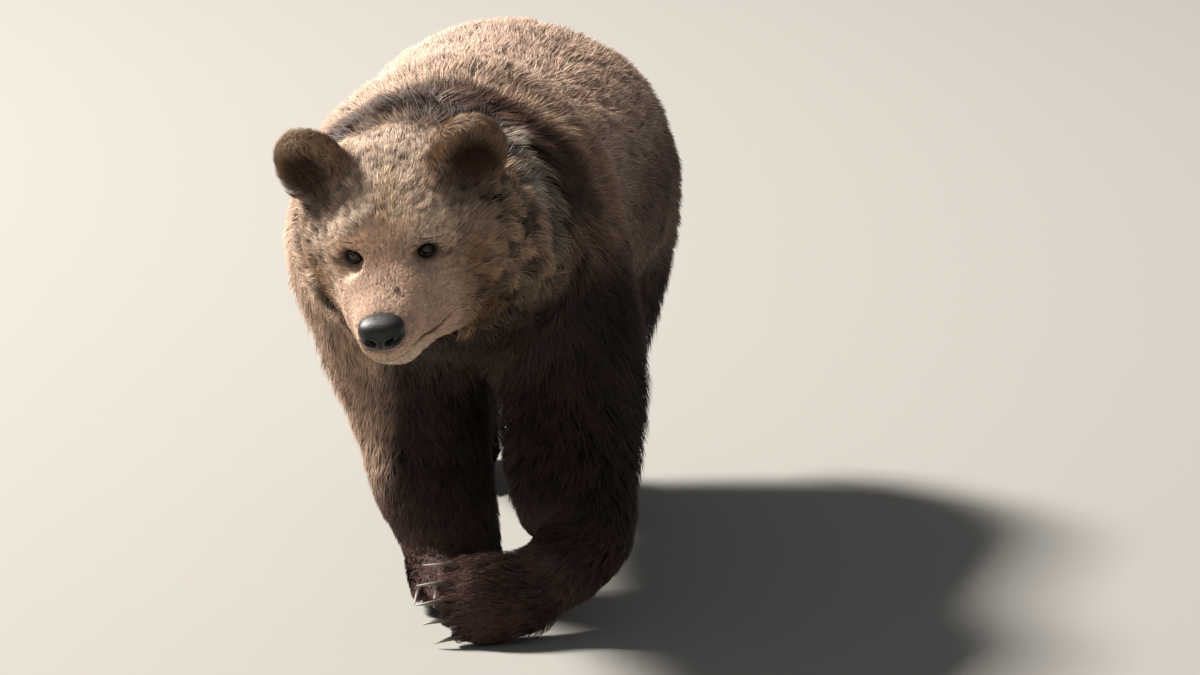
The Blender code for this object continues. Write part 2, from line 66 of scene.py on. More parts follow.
# %% Sizes of the trunk, neck and tail
# Trunk from shoulders to rump: y, height of back, height of belly, half width
TRUNK = [
    (-0.18, 0.850, 0.470, 0.190),
    (-0.10, 0.872, 0.425, 0.228),
    (0.00, 0.887, 0.395, 0.255),
    (0.14, 0.864, 0.375, 0.264),
    (0.30, 0.840, 0.360, 0.282),
    (0.46, 0.844, 0.358, 0.306),
    (0.60, 0.858, 0.375, 0.296),
    (0.73, 0.838, 0.405, 0.262),
    (0.83, 0.780, 0.450, 0.205),
]
WIDEST = 0.43  # share of its height at which the trunk is widest
PEAK = 0.13  # how much the trunk narrows towards the back, beyond an oval

# Neck: x, y, z of its centre line, half width, height above the line, height below it
NECK = [
    (0.000, -0.04, 0.620, 0.225, 0.245, 0.200),
    (0.000, -0.18, 0.640, 0.228, 0.222, 0.190),
    (-0.004, -0.30, 0.660, 0.222, 0.192, 0.180),
    (-0.015, -0.40, 0.690, 0.185, 0.152, 0.160),
]
BRISKET = ((0.062, -0.020, 0.500), (0.060, 0.100, 0.100))  # hair between the forelegs: centre, radii
TAIL = [
    (0.0, 0.925, 0.715, 0.042, 0.030),
    (0.0, 0.978, 0.676, 0.046, 0.034),
    (0.0, 1.000, 0.622, 0.034, 0.028),
]

# %% Sizes of the legs and paws
# Legs from the top down: x, y, z of the centre line, half width, half depth
LEGS = {
    "foreleg_left": [
        (0.130, -0.020, 0.680, 0.110, 0.165),
        (0.165, -0.060, 0.560, 0.125, 0.160),
        (0.197, -0.055, 0.430, 0.126, 0.138),
        (0.198, -0.090, 0.310, 0.126, 0.114),
        (0.209, -0.145, 0.215, 0.111, 0.096),
        (0.228, -0.190, 0.152, 0.086, 0.076),
        (0.205, -0.232, 0.112, 0.070, 0.066),
    ],
    "foreleg_right": [
        (-0.130, -0.020, 0.680, 0.110, 0.165),
        (-0.132, -0.030, 0.560, 0.132, 0.160),
        (-0.098, 0.000, 0.430, 0.140, 0.142),
        (-0.062, 0.005, 0.310, 0.124, 0.118),
        (-0.042, -0.010, 0.200, 0.108, 0.098),
        (-0.014, -0.025, 0.120, 0.090, 0.082),
        (-0.002, -0.035, 0.070, 0.078, 0.072),
    ],
    "hindleg_left": [
        (0.115, 0.700, 0.640, 0.145, 0.205),
        (0.145, 0.680, 0.510, 0.148, 0.205),
        (0.155, 0.625, 0.390, 0.124, 0.165),
        (0.140, 0.640, 0.260, 0.102, 0.118),
        (0.122, 0.680, 0.150, 0.082, 0.090),
        (0.116, 0.660, 0.075, 0.070, 0.074),
    ],
    "hindleg_right": [
        (-0.115, 0.720, 0.640, 0.145, 0.205),
        (-0.145, 0.720, 0.510, 0.148, 0.205),
        (-0.155, 0.715, 0.390, 0.124, 0.165),
        (-0.135, 0.790, 0.265, 0.102, 0.118),
        (-0.118, 0.875, 0.160, 0.082, 0.090),
        (-0.112, 0.885, 0.080, 0.070, 0.074),
    ],
}

# Paws: centre, direction of the toes, direction towards the outer toe, half length of the sole
PAWS = {
    "forepaw_left": ((0.120, -0.285, 0.071), (-0.90, -0.44, 0.01), (0.10, -0.42, -0.88), 0.085),
    "forepaw_right": ((0.004, -0.055, 0.044), (0.10, -0.99, 0.0), (-1.0, -0.10, 0.0), 0.085),
    "hindpaw_left": ((0.114, 0.580, 0.042), (0.03, -1.0, 0.0), (1.0, 0.03, 0.0), 0.110),
    "hindpaw_right": ((-0.110, 0.805, 0.042), (-0.03, -1.0, 0.0), (-1.0, 0.03, 0.0), 0.110),
}
TOES = range(-2, 3)  # from the innermost to the outermost
TOE_PITCH = 0.028
CLAW_LENGTH = {"forepaw": 0.046, "hindpaw": 0.032}
CLAW_RADIUS = 0.0055

# %% Sizes of the head
# Its place, its turn in degrees, and what sits on it, in the head's own left, forward and up
HEAD_AT = np.array([-0.026, -0.462, 0.738])
HEAD_PITCH, HEAD_ROLL, HEAD_YAW = 24.5, -7.0, 2.0
EAR_AT = (0.119, -0.002, 0.072)
EAR_RADII = (0.064, 0.036, 0.074)
EYE_AT = (0.0545, 0.1240, -0.001)
EYE_RADIUS = 0.0125
NOSE_AT = (0.0, 0.300, -0.024)
NOSE_RADII = (0.034, 0.026, 0.026)

# Cheeks and jowls: centre, radii. The left ones are fuller, as the head is turned to its right.
CHEEKS = [
    ((0.074, 0.022, -0.048), (0.074, 0.104, 0.080)),
    ((-0.058, 0.022, -0.044), (0.074, 0.104, 0.078)),
    ((0.096, -0.005, -0.094), (0.076, 0.098, 0.100)),
    ((-0.064, -0.045, -0.078), (0.074, 0.085, 0.098)),
    ((0.066, 0.075, -0.108), (0.062, 0.092, 0.060)),
    ((-0.050, 0.060, -0.098), (0.058, 0.086, 0.056)),
    ((0.048, 0.135, -0.080), (0.042, 0.090, 0.046)),
    ((-0.040, 0.135, -0.078), (0.042, 0.090, 0.044)),
]

# Muzzle and lower jaw: centre, half width, height above, height below
MUZZLE = [
    (0, 0.040, -0.026, 0.090, 0.056, 0.080),
    (0, 0.105, -0.031, 0.078, 0.054, 0.074),
    (0, 0.165, -0.036, 0.065, 0.046, 0.066),
    (0, 0.220, -0.040, 0.055, 0.041, 0.061),
    (0, 0.260, -0.043, 0.051, 0.038, 0.058),
    (0, 0.282, -0.045, 0.044, 0.034, 0.050),
]
JAW = [
    (0, -0.020, -0.115, 0.112, 0.060, 0.070),
    (0, 0.080, -0.112, 0.092, 0.045, 0.055),
    (0, 0.165, -0.108, 0.060, 0.036, 0.040),
    (0, 0.232, -0.100, 0.042, 0.034, 0.031),
]


# %% [markdown]
# ## The head's own axes
# A bear's head is never quite level, and this one hangs and tilts. Its parts are simplest in axes of
# their own, left, forward and up from the middle of the skull, so points of the room are brought into
# those.


# %% Axes of the head
def unit(v):
    """v, or each row of v, brought to length one."""
    v = np.asarray(v, float)
    return v / np.maximum(np.linalg.norm(v, axis=-1, keepdims=True), 1e-12)


def head_axes():
    """Rows are the head's left, forward and up: pitched, then rolled, then turned."""
    p, r, y = np.radians([HEAD_PITCH, HEAD_ROLL, HEAD_YAW])
    left, up = np.array([1.0, 0, 0]), np.array([0, -math.sin(p), math.cos(p)])
    fore = np.array([0, -math.cos(p), -math.sin(p)])
    left, up = left * math.cos(r) - up * math.sin(r), up * math.cos(r) + left * math.sin(r)
    turn = np.array([[math.cos(y), math.sin(y), 0], [-math.sin(y), math.cos(y), 0], [0, 0, 1]])
    return np.array([left, fore, up]) @ turn


def in_head(points):
    """World points in the head's left, forward and up."""
    return (points - HEAD_AT) @ head_axes().T


def out_of_head(local):
    """The head's left, forward and up as world points."""
    return HEAD_AT + np.asarray(local, float) @ head_axes()


print("the head looks along", np.round(head_axes()[1], 2))


# %% [markdown]
# ## Two shapes and how they meet
# Muscle, fat and hair run into each other without an edge. Two forms are joined with a smooth minimum,
# which is what a fillet is to a distance. Everything is made of two shapes: an ellipsoid, and a tube of
# oval sections along a smooth line. A point belongs to the section of the tube whose plane it lies in,
# so the surface has no rings where the sizes change, as a chain of balls would have.

# %% Joins and ovals
def join(a, b, blend):
    """Smooth minimum: the union of two solids with a fillet about as wide as blend."""
    h = np.clip(0.5 + 0.5 * (b - a) / blend, 0.0, 1.0)
    return b + (a - b) * h - blend * h * (1.0 - h)


def carve(a, b, blend):
    """Solid a with solid b taken away, and the edge rounded."""
    return -join(-a, b, blend)


def oval(local, radii):
    """Close to the surface this is the distance to the ellipsoid with these radii."""
    q = np.linalg.norm(local / radii, axis=1)
    g = np.linalg.norm(local / radii**2, axis=1)
    return np.where(q > 1e-6, q * (q - 1) / np.maximum(g, 1e-9), -radii.min(-1))


def blob(points, centre, radii):
    """An ellipsoid with its axes along the coordinate axes."""
    return oval(points - np.asarray(centre, float), np.asarray(radii, float))


# %% Tubes
def spline(rows, count):
    """Points on the Catmull-Rom spline through rows, evenly spaced in its parameter."""
    rows = np.asarray(rows, float)
    ends = np.vstack([2 * rows[0] - rows[1], rows, 2 * rows[-1] - rows[-2]])
    t = np.linspace(0, len(rows) - 1, count)
    i = np.minimum(t.astype(int), len(rows) - 2)
    u = (t - i)[:, None]
    a, b, c, d = (ends[i + k] for k in range(4))
    bend = (2 * a - 5 * b + 4 * c - d) * u**2 + (3 * b - a - 3 * c + d) * u**3
    return 0.5 * (2 * b + (c - a) * u + bend)


def tube(points, rows, count, peak=0.0):
    """Distance to a tube of oval sections, whose sizes and turns change smoothly along its line.

    Each point is measured in the section whose plane it lies in. Both ends are domes.
    """
    stations = spline(rows, count)
    line, size = stations[:, :3], stations[:, 3:]
    if size.shape[1] == 2:
        size = size[:, [0, 1, 1]]
    along = unit(np.gradient(line, axis=0))
    up = unit(np.cross([1.0, 0.0, 0.0], along))
    if abs(up[:, 2].sum()) > abs(up[:, 1].sum()) and up[:, 2].sum() < 0:
        up = -up
    side = np.cross(along, up)
    ahead = points @ along.T - (line * along).sum(1)
    nearest = np.full(len(points), 1e3)
    for i in range(-1, count):
        before, after = max(i, 0), min(i + 1, count - 1)
        inside = (i < 0) | (ahead[:, before] >= 0)
        hit = np.flatnonzero(inside & ((i == count - 1) | (ahead[:, after] < 0)))
        t = np.zeros((len(hit), 1))
        if before != after:
            t[:, 0] = ahead[hit, before] / (ahead[hit, before] - ahead[hit, after])
        v = points[hit] - line[before] * (1 - t) - line[after] * t
        across, high, far = (
            (v * (a[before] * (1 - t) + a[after] * t)).sum(1) for a in (side, up, along)
        )
        wide, above, below = (size[before] * (1 - t) + size[after] * t).T
        dome = np.minimum(wide, np.minimum(above, below))
        across = across * (1 + peak * np.clip(high / above, 0, 1))
        radii = np.stack([wide, np.where(high > 0, above, below), dome], 1)
        nearest[hit] = np.minimum(nearest[hit], oval(np.stack([across, high, far], 1), radii))
    return nearest


# %% [markdown]
# ## Head, ears and paws
# The skull is broad between the ears, with full cheeks on either side of a long muzzle. Each ear is a
# thick leaf hollowed in front, and each paw a low pad with five toes. They are blobs in axes of their
# own, which costs less than one cage for all and lets each be turned alone.


# %% Head, ears and paws
def head_field(points):
    """Skull, brow, cheeks, muzzle, jaw and throat with their coat, and the hollows of the eyes."""
    p = in_head(points)
    f = blob(p, (0, -0.035, 0.0), (0.122, 0.118, 0.090))  # back of the skull
    f = join(f, blob(p, (0, 0.068, 0.006), (0.086, 0.082, 0.066)), 0.05)  # forehead
    for centre, radii in CHEEKS:
        f = join(f, blob(p, centre, radii), 0.045)
    for s in (-1, 1):  # brows
        f = join(f, blob(p, (s * 0.046, 0.100, 0.019), (0.036, 0.036, 0.024)), 0.03)
    f = join(f, tube(p, MUZZLE, 12), 0.05)
    f = join(f, tube(p, JAW, 9), 0.03)
    f = join(f, blob(p, (0, -0.050, -0.110), (0.120, 0.110, 0.085)), 0.05)  # throat
    for s in (-1, 1):  # hollows of the eyes
        f = carve(f, blob(p, (s * 0.061, 0.150, 0.001), (0.024, 0.020, 0.017)), 0.016)
    return f


def ear_axes(s):
    """Rows are the ear's across, facing and tall directions in the head's axes."""
    face = unit((s * 0.34, 0.94, 0.0))
    tall = np.array([s * 0.42, 0.0, 0.90])
    tall = unit(tall - face * (tall @ face))
    return np.array([np.cross(face, tall), face, tall])


def in_ear(local, s):
    """The head's coordinates in the ear's across, facing and tall."""
    return (local - np.array(EAR_AT) * (s, 1, 1)) @ ear_axes(s).T


def ear_field(points, s):
    """A thick oval leaf, hollowed in front; s is 1 for the left ear and -1 for the right."""
    q = in_ear(in_head(points), s)
    f = blob(q, (0, 0, 0), EAR_RADII)
    return carve(f, blob(q, (0, 0.048, 0.004), (0.044, 0.026, 0.048)), 0.016)


def paw_axes(name):
    """Rows are the paw's outward, toe and top directions."""
    toe = unit(PAWS[name][1])
    out = np.asarray(PAWS[name][2], float)
    out = unit(out - toe * (out @ toe))
    top = np.cross(out, toe)
    return np.array([out, toe, top if top[2] > 0 else -top])


def in_paw(points, name):
    """World points in the paw's outward, toe and top."""
    return (points - np.array(PAWS[name][0])) @ paw_axes(name).T


def toe_at(name, k):
    """Middle of toe k in the paw's axes: the middle toe reaches furthest."""
    return np.array([k * TOE_PITCH, PAWS[name][3] + 0.008 - 0.008 * abs(k) ** 1.6, -0.010])


def paw_field(points, name):
    """A low oval pad, a wider front, and five toes side by side."""
    p = in_paw(points, name)
    half = PAWS[name][3]
    wide = 0.076 if name.startswith("fore") else 0.068
    f = blob(p, (0, -0.01, 0.0), (wide, half, 0.046))
    f = join(f, blob(p, (0, half * 0.5, -0.004), (wide, 0.055, 0.038)), 0.03)
    for k in TOES:
        f = join(f, blob(p, toe_at(name, k), (0.0175, 0.034, 0.022)), 0.012)
    return f


# %% [markdown]
# ## The whole bear
# Trunk, neck and head are joined widely, as fat and fur hide the joints. The legs are joined to the
# trunk but not to each other, so that a gap stays between them. The last number of each join is the
# width of its fillet in metres, and that of each tube the count of its sections.


# %% The whole bear
def trunk_rows():
    """The table of back and belly heights as centre line, half width, height above and height below."""
    rows = []
    for y, back, belly, half in TRUNK:
        z = belly + WIDEST * (back - belly)
        rows.append((0.0, y, z, half, back - z, z - belly))
    return rows


def bear_field(points):
    """Negative inside the bear and zero on the outside of its coat."""
    f = tube(points, trunk_rows(), 18, PEAK)
    f = join(f, tube(points, NECK, 9), 0.12)
    f = join(f, head_field(points), 0.05)
    f = join(f, blob(points, *BRISKET), 0.05)
    legs = np.full(len(points), 1e3)
    for name, rows in LEGS.items():
        leg = tube(points, rows, 16)
        legs = np.minimum(legs, join(leg, paw_field(points, name.replace("leg", "paw")), 0.035))
    f = join(f, legs, 0.07)
    f = join(f, tube(points, TAIL, 6), 0.03)
    for s in (-1, 1):
        f = join(f, ear_field(points, s), 0.022)
    return f


# The solids were moved so that the middle of their box is over the origin, and the left eye shows by how
# much. All formulas work in the bear's own coordinates, and MOVED is added when a mesh is made.
eye_box = np.array(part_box("eye_left"))
MOVED = eye_box.mean(0) - out_of_head(EYE_AT)
print("the packed bear is moved by", np.round(MOVED, 4))

# %% [markdown]
# ## Camera
# Bears are watched from far off and a little above, so the camera stands ten metres in front, looks
# down twelve degrees and has a long lens, which keeps the nose from looking large. A camera could be
# aimed with a constraint. Here its three axes are worked out from two angles, which is plain to read.

# %% Camera
CAMERA_AT = np.array([1.392, -9.903, 2.600])
turn, dip = math.radians(-6.68), math.radians(12.26)
ahead = np.array([math.sin(turn) * math.cos(dip), math.cos(turn) * math.cos(dip), -math.sin(dip)])
right = np.array([math.cos(turn), -math.sin(turn), 0.0])
above = np.cross(right, ahead)
camera = bpy.data.objects.new("camera", bpy.data.cameras.new("camera"))
camera.data.lens, camera.data.sensor_width = 189.0, 36.0  # millimetres
columns = np.column_stack([right, above, -ahead, CAMERA_AT + MOVED])
camera.matrix_world = Matrix([*columns.tolist(), [0, 0, 0, 1]])
bpy.context.scene.collection.objects.link(camera)
bpy.context.scene.camera = camera
print("camera", np.round(CAMERA_AT + MOVED, 2), "lens", camera.data.lens, "mm")


# %% [markdown]
# ## Materials
# Every surface here is a Principled shader whose colour is stored on the mesh, point by point, because
# a bear has no painted edges. Fine relief that is too small for the mesh is left to noise in the
# shader.

# %% Colours and nodes
def linear(code):
    """A written sRGB colour as the linear values that light is reckoned in."""
    s = np.array([int(code[i : i + 2], 16) for i in (1, 3, 5)]) / 255
    return np.where(s <= 0.04045, s / 12.92, ((s + 0.055) / 1.055) ** 2.4)


def surface(name, colour=None, attribute=None, roughness=0.5, specular=0.5, coat=0.0):
    """A Principled material of one colour, or of the colours stored on the mesh."""
    made = bpy.data.materials.new(name)
    made.use_nodes = True
    shader = made.node_tree.nodes["Principled BSDF"]
    shader.inputs["Roughness"].default_value = roughness
    shader.inputs["Specular IOR Level"].default_value = specular
    shader.inputs["Coat Weight"].default_value = coat
    if colour:
        shader.inputs["Base Color"].default_value = (*linear(colour), 1.0)
    if attribute:
        stored = add_node(made, "ShaderNodeAttribute", attribute_name=attribute)
        made.node_tree.links.new(stored.outputs["Color"], shader.inputs["Base Color"])
    return made


def add_node(made, kind, inputs=(), **settings):
    """A new node in the material with these settings and values."""
    node = made.node_tree.nodes.new(kind)
    for key, value in settings.items():
        setattr(node, key, value)
    for key, value in dict(inputs).items():
        node.inputs[key].default_value = value
    return node


def bump(made, scale, depth, strength, detail=3.0):
    """Fine relief of noise on the material: scale in bumps per metre and depth in metres."""
    place = add_node(made, "ShaderNodeTexCoord")
    noise = add_node(made, "ShaderNodeTexNoise", {"Scale": scale, "Detail": detail})
    relief = add_node(made, "ShaderNodeBump", {"Distance": depth, "Strength": strength})
    links, shader = made.node_tree.links, made.node_tree.nodes["Principled BSDF"]
    links.new(place.outputs["Object"], noise.inputs["Vector"])
    links.new(noise.outputs["Fac"], relief.inputs["Height"])
    links.new(relief.outputs["Normal"], shader.inputs["Normal"])


# %% [markdown]
# ## Floor and light
# The floor is plain, pale and matt, like a painted studio floor. The main light comes from above,
# behind and to the bear's right: it grazes the back, the forehead and the outer hair of the legs, and
# leaves the chest in shade, which is what makes fur look deep. A weak wide lamp and a pale sky fill the
# shade. Light from in front would show every hair and no depth.

# %% Floor
FLOOR_HALF = 30.0
floor_mesh = bpy.data.meshes.new("floor")
floor_corners = [(-FLOOR_HALF, -FLOOR_HALF, 0.0), (FLOOR_HALF, -FLOOR_HALF, 0.0)]
floor_corners += [(FLOOR_HALF, FLOOR_HALF, 0.0), (-FLOOR_HALF, FLOOR_HALF, 0.0)]
floor_mesh.from_pydata(floor_corners, [], [(0, 1, 2, 3)])
floor = bpy.data.objects.new("floor", floor_mesh)
bpy.context.scene.collection.objects.link(floor)
# Matt grey paint on a level floor: no shine, so that only the shadow says where the paws stand.
floor_mesh.materials.append(surface("painted_studio_floor", "#918e88", roughness=0.85))
print("floor", 2 * FLOOR_HALF, "m square")

# %% Sky and lamps
world = bpy.data.worlds.new("studio")
world.use_nodes = True
world.node_tree.nodes["Background"].inputs["Color"].default_value = (0.95, 0.97, 1.0, 1.0)
world.node_tree.nodes["Background"].inputs["Strength"].default_value = 0.20
bpy.context.scene.world = world


def area_light(name, at, size, power, colour):
    """A square lamp of this size in metres and power in watts, turned towards the middle of the bear."""
    lamp = bpy.data.objects.new(name, bpy.data.lights.new(name, "AREA"))
    lamp.data.size, lamp.data.energy, lamp.data.color = size, power, colour
    lamp.location = at
    away = np.array(at) - (0.0, -0.2, 0.6)
    side = unit(np.cross([0.0, 0.0, 1.0], away))
    axes = np.column_stack([side, unit(np.cross(away, side)), unit(away)])
    lamp.rotation_euler = Matrix(axes.tolist()).to_euler()
    bpy.context.scene.collection.objects.link(lamp)


area_light("key", (-11.4, 3.4, 12.6), 3.0, 9800.0, (1.0, 0.96, 0.91))
area_light("fill", (1.6, -6.0, 3.0), 3.0, 15.0, (0.97, 0.98, 1.0))
bpy.context.scene.view_settings.view_transform = "Standard"
print("two lamps and a pale sky")

# %% [markdown]
# ## The outline on a grid
# Growing hair asks for the field millions of times. It could be worked out anew each time, which takes
# an hour. So it's worked out once on a 9 mm grid and read from there, which errs by a fraction of a
# millimetre on forms as soft as these. Far from the surface a coarse grid is enough.


# %% Reading the field
def sampled(field, low, high, step, inside, outside):
    """The field on a grid: worked out between the two levels, and elsewhere read from a coarser grid."""
    coarse = 4
    n = np.ceil((high - low) / step / coarse).astype(int) * coarse
    places = (low[k] + step * np.arange(0, n[k] + 1, coarse) for k in range(3))
    rough = np.stack(np.meshgrid(*places, indexing="ij"), -1)
    dense = field(rough.reshape(-1, 3)).reshape(rough.shape[:3])
    for k in range(3):
        at = np.arange(n[k] + 1) / coarse
        i = np.minimum(at.astype(int), dense.shape[k] - 2)
        t = (at - i).reshape([-1 if j == k else 1 for j in range(3)])
        dense = np.take(dense, i, axis=k) * (1 - t) + np.take(dense, i + 1, axis=k) * t
    near = (dense > inside) & (dense < outside)
    dense[near] = field(low + np.argwhere(near) * step)
    return dense


STEP, MARGIN = 0.009, 0.045  # of the grid, and round the solids
DEEPEST, FURTHEST = -0.095, 0.050  # levels between which the grid is exact: hair never leaves them
corners = np.array([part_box(name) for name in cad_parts]) - MOVED
low, high = corners[:, 0].min(0) - MARGIN, corners[:, 1].max(0) + MARGIN
grid = sampled(bear_field, low, high, STEP, DEEPEST, FURTHEST)
print("grid of", grid.shape, "points,", round(1000 * STEP), "mm apart")


def height(points):
    """The field and its slope at any points: each mixes the eight corners of its cell by nearness."""
    at = np.clip((points - low) / STEP, 0.0, np.array(grid.shape) - 1.001)
    i = at.astype(int)
    t = at - i
    value, slope = np.zeros(len(points)), np.zeros((len(points), 3))
    for corner in np.ndindex(2, 2, 2):
        c = np.array(corner)
        share = np.where(c, t, 1 - t)
        g = grid[tuple((i + c).T)]
        value += share.prod(1) * g
        for k in range(3):
            slope[:, k] += (2 * c[k] - 1) * share[:, (k + 1) % 3] * share[:, (k + 2) % 3] * g
    return value, slope / STEP


# %% [markdown]
# ## Soft masks
# On an animal one zone fades into the next over centimetres: long hair into short, fawn into brown.
# Every rule below is therefore given a share between 0 and 1 at each point, and values are mixed by it.


# %% Masks and mixes
def smooth(a, b, x):
    """0 at a, 1 at b, and an even S between."""
    t = np.clip((x - a) / (b - a), 0.0, 1.0)
    return t * t * (3 - 2 * t)


def spot(points, centre, radii):
    """1 inside an ellipsoid, fading to 0 at one and a half times its size."""
    q = np.linalg.norm((points - np.array(centre)) / np.array(radii), axis=1)
    return smooth(1.5, 0.6, q)


def mix(a, b, t):
    """a where t is 0 and b where t is 1, for numbers."""
    return a + (b - a) * t


def blend(a, b, t):
    """The same for colours and directions, which have three numbers for each t."""
    return a + (b - a) * np.asarray(t)[..., None]


# %% [markdown]
# ## How deep the coat is
# A brown bear's coat is 4 to 6 cm deep on the trunk and deepest on the neck and shoulders. It thins
# down the legs to 1 cm on the paws, and is a few millimetres on the muzzle, where the form of the skull
# shows. One depth for all would give a toy's plush. The skin lies inside the outline by this depth, and
# every hair grows through it.


# %% Depth of the coat
def mirrored(local):
    """Head coordinates with the right side folded over the left."""
    return np.column_stack([np.abs(local[:, 0]), local[:, 1:]])


def in_face(points):
    """Points in the head's axes, with those below the throat pushed back, out of reach of its rules."""
    q = in_head(points)
    q[:, 1] -= 3 * np.maximum(-0.22 - q[:, 2], 0)
    return q


def coat_depth(points):
    """Metres from the skin to the tips: a mean for the body, replaced softly by that of each part."""
    q = in_face(points)
    fore, up = q[:, 1], q[:, 2]
    z = points[:, 2]
    parts = [
        (smooth(0.44, 0.30, z), 0.034),  # legs
        (smooth(0.30, 0.14, z), 0.017),  # below the elbows
        (smooth(0.13, 0.07, z), 0.011),  # paws
        (spot(points, (0.200, -0.200, 0.140), (0.075, 0.07, 0.06)), 0.012),  # bent wrist
        (smooth(-0.13, -0.02, fore), 0.036),  # ruff and cheeks
        (smooth(-0.14, -0.02, fore) * smooth(-0.01, 0.05, up), 0.017),  # crown
        (smooth(0.01, 0.10, fore) * smooth(-0.10, -0.03, up), 0.013),  # face
        (smooth(0.11, 0.19, fore), 0.010),  # chin
        (smooth(0.10, 0.17, fore) * smooth(-0.105, -0.06, up), 0.0045),  # muzzle
        (spot(mirrored(q), EYE_AT, (0.031, 0.034, 0.028)), 0.0035),  # round the eyes
    ]
    for s in (-1, 1):
        parts.append((spot(in_ear(q, s), (0, 0, 0.018), (0.070, 0.060, 0.066)), 0.019))
    for name in PAWS:
        e = in_paw(points, name)
        toes = smooth(0.02, 0.07, e[:, 1]) * spot(e, (0, 0.08, 0), (0.09, 0.09, 0.07))
        parts.append((toes, 0.007))
    parts.append((spot(points, (0, 0.99, 0.66), (0.07, 0.07, 0.09)), 0.016))  # tail
    depth = 0.042 + 0.014 * smooth(0.10, -0.25, points[:, 1])
    for share, wanted in parts:
        depth = mix(depth, wanted, share)
    return np.minimum(depth, 0.003 + 0.7 * np.maximum(z, 0.0))


# %% [markdown]
# ## The skin
# Under its coat a bear is thinner than it looks. A skin could be sculpted, but it wouldn't keep its
# distance from the outline. So it is the level of the field that lies one coat's depth inside, turned
# into a mesh of even squares. The head is then divided twice, so that the mouth, the sockets of the
# eyes and the creases of the muzzle can be pressed into it.


# %% Shape of the skin
SOCKET = 0.0118  # radius of the opening in the skin behind the lids, a little under the eyeball's
MOUTH_DEPTH, LIP_HEIGHT, CREASE_DEPTH = 0.0052, 0.0022, 0.0012


def mouth_line(y):
    """Height of the closed mouth in the head's axes: it droops behind the nose and ends higher."""
    return -0.0700 - 0.013 * smooth(0.285, 0.20, y) + 0.008 * smooth(0.19, 0.12, y)


def skin_field(points):
    """The outline less the coat's depth, opened for the eyeballs and pressed in along the mouth."""
    f = bear_field(points) + coat_depth(points)
    m = mirrored(in_head(points))
    near = (m[:, 1] > 0.05) & (m[:, 1] < 0.4) & (np.abs(m[:, 2]) < 0.2) & (m[:, 0] < 0.15)
    near = np.flatnonzero(near)
    if len(near) == 0:
        return f
    m, g = m[near], f[near]
    g = carve(g, blob(m, EYE_AT, np.full(3, SOCKET)), 0.004)
    line = np.abs(m[:, 2] - mouth_line(m[:, 1]))
    length = smooth(0.118, 0.145, m[:, 1]) * smooth(0.33, 0.29, m[:, 1])
    g = g + MOUTH_DEPTH * np.exp(-((line / 0.0026) ** 2)) * length
    g = g - LIP_HEIGHT * np.exp(-(((line - 0.0075) / 0.0045) ** 2)) * length
    crease = np.abs(m[:, 0] - 0.016 - 0.10 * np.maximum(0.26 - m[:, 1], 0)) / 0.004
    crease = CREASE_DEPTH * np.exp(-(crease**2))
    g = g + crease * smooth(0.20, 0.25, m[:, 1]) * smooth(-0.04, -0.01, m[:, 2])
    f[near] = g
    return f


# %% Dividing and settling a mesh
def finer(bm, chosen):
    """Divides the chosen faces in four, with triangles along their border."""
    edges = list({edge for face in chosen for edge in face.edges})
    bmesh.ops.subdivide_edges(bm, edges=edges, cuts=1, use_grid_fill=True)


def face_centres(bm):
    """Centres of the mesh's faces, each as the head's left, forward and up."""
    bm.faces.ensure_lookup_table()
    return in_head(np.array([face.calc_center_median() for face in bm.faces]))


def settle(points, field, rounds, hold=0.004):
    """Moves points along the field's slope onto its zero level, never more than hold in one round."""
    for _ in range(rounds):
        value, h = field(points), 0.0015
        slope = np.column_stack([field(points + h * np.eye(3)[k]) - value for k in range(3)]) / h
        size = np.maximum((slope**2).sum(1), 0.25)
        points = points - np.clip(value, -hold, hold)[:, None] * slope / size[:, None]
    return points


# %% Squares of the skin
coarse = sampled(skin_field, low, high, STEP, -0.045, 0.045)
volume = openvdb.FloatGrid(1.0)
volume.copyFromArray(coarse.astype(np.float32))
cells, quads = volume.convertToQuads(0.0)
bm = bmesh.new()
rough = bpy.data.meshes.new("rough")
rough.from_pydata((cells * STEP + low).tolist(), [], quads.tolist())
bm.from_mesh(rough)
bpy.data.meshes.remove(rough)
print("skin of", len(bm.faces), "squares")

centres = face_centres(bm)
head_part = (centres[:, 1] > -0.03) & (np.abs(centres[:, 0]) < 0.2) & (centres[:, 2] > -0.22)
finer(bm, [face for face, yes in zip(bm.faces, head_part) if yes])
centres = face_centres(bm)
eyes_part = (np.abs(np.abs(centres[:, 0]) - 0.055) < 0.028) & (np.abs(centres[:, 2]) < 0.028)
eyes_part &= (centres[:, 1] > 0.09) & (centres[:, 1] < 0.16)
fine_part = ((centres[:, 1] > 0.135) & (centres[:, 2] > -0.17)) | eyes_part
finer(bm, [face for face, yes in zip(bm.faces, fine_part) if yes])
bmesh.ops.recalc_face_normals(bm, faces=bm.faces)
skin_mesh = bpy.data.meshes.new("skin")
bm.to_mesh(skin_mesh)
bm.free()
print("after dividing the head", len(skin_mesh.polygons), "faces")

# %% Settle the skin
points = np.empty(len(skin_mesh.vertices) * 3)
skin_mesh.vertices.foreach_get("co", points)
points = points.reshape(-1, 3)
on_head = in_head(points)[:, 1] > -0.05
points[on_head] = settle(points[on_head], skin_field, 4)
points[~on_head] = settle(points[~on_head], skin_field, 1)
points[:, 2] = np.maximum(points[:, 2], 0.0)
print("the skin is off its level by", round(1e3 * np.abs(skin_field(points)).mean(), 3), "mm on average")

# %% [markdown]
# ## Noise and locks
# Hair clings together in locks. A tree of neighbours would find them, or a texture of cells. Here every
# place belongs to the nearest of a set of centres, scattered one to each cell of a grid, which whole
# arrays can look up at once. Hairs with the same centre lean to it and share their length and shade.

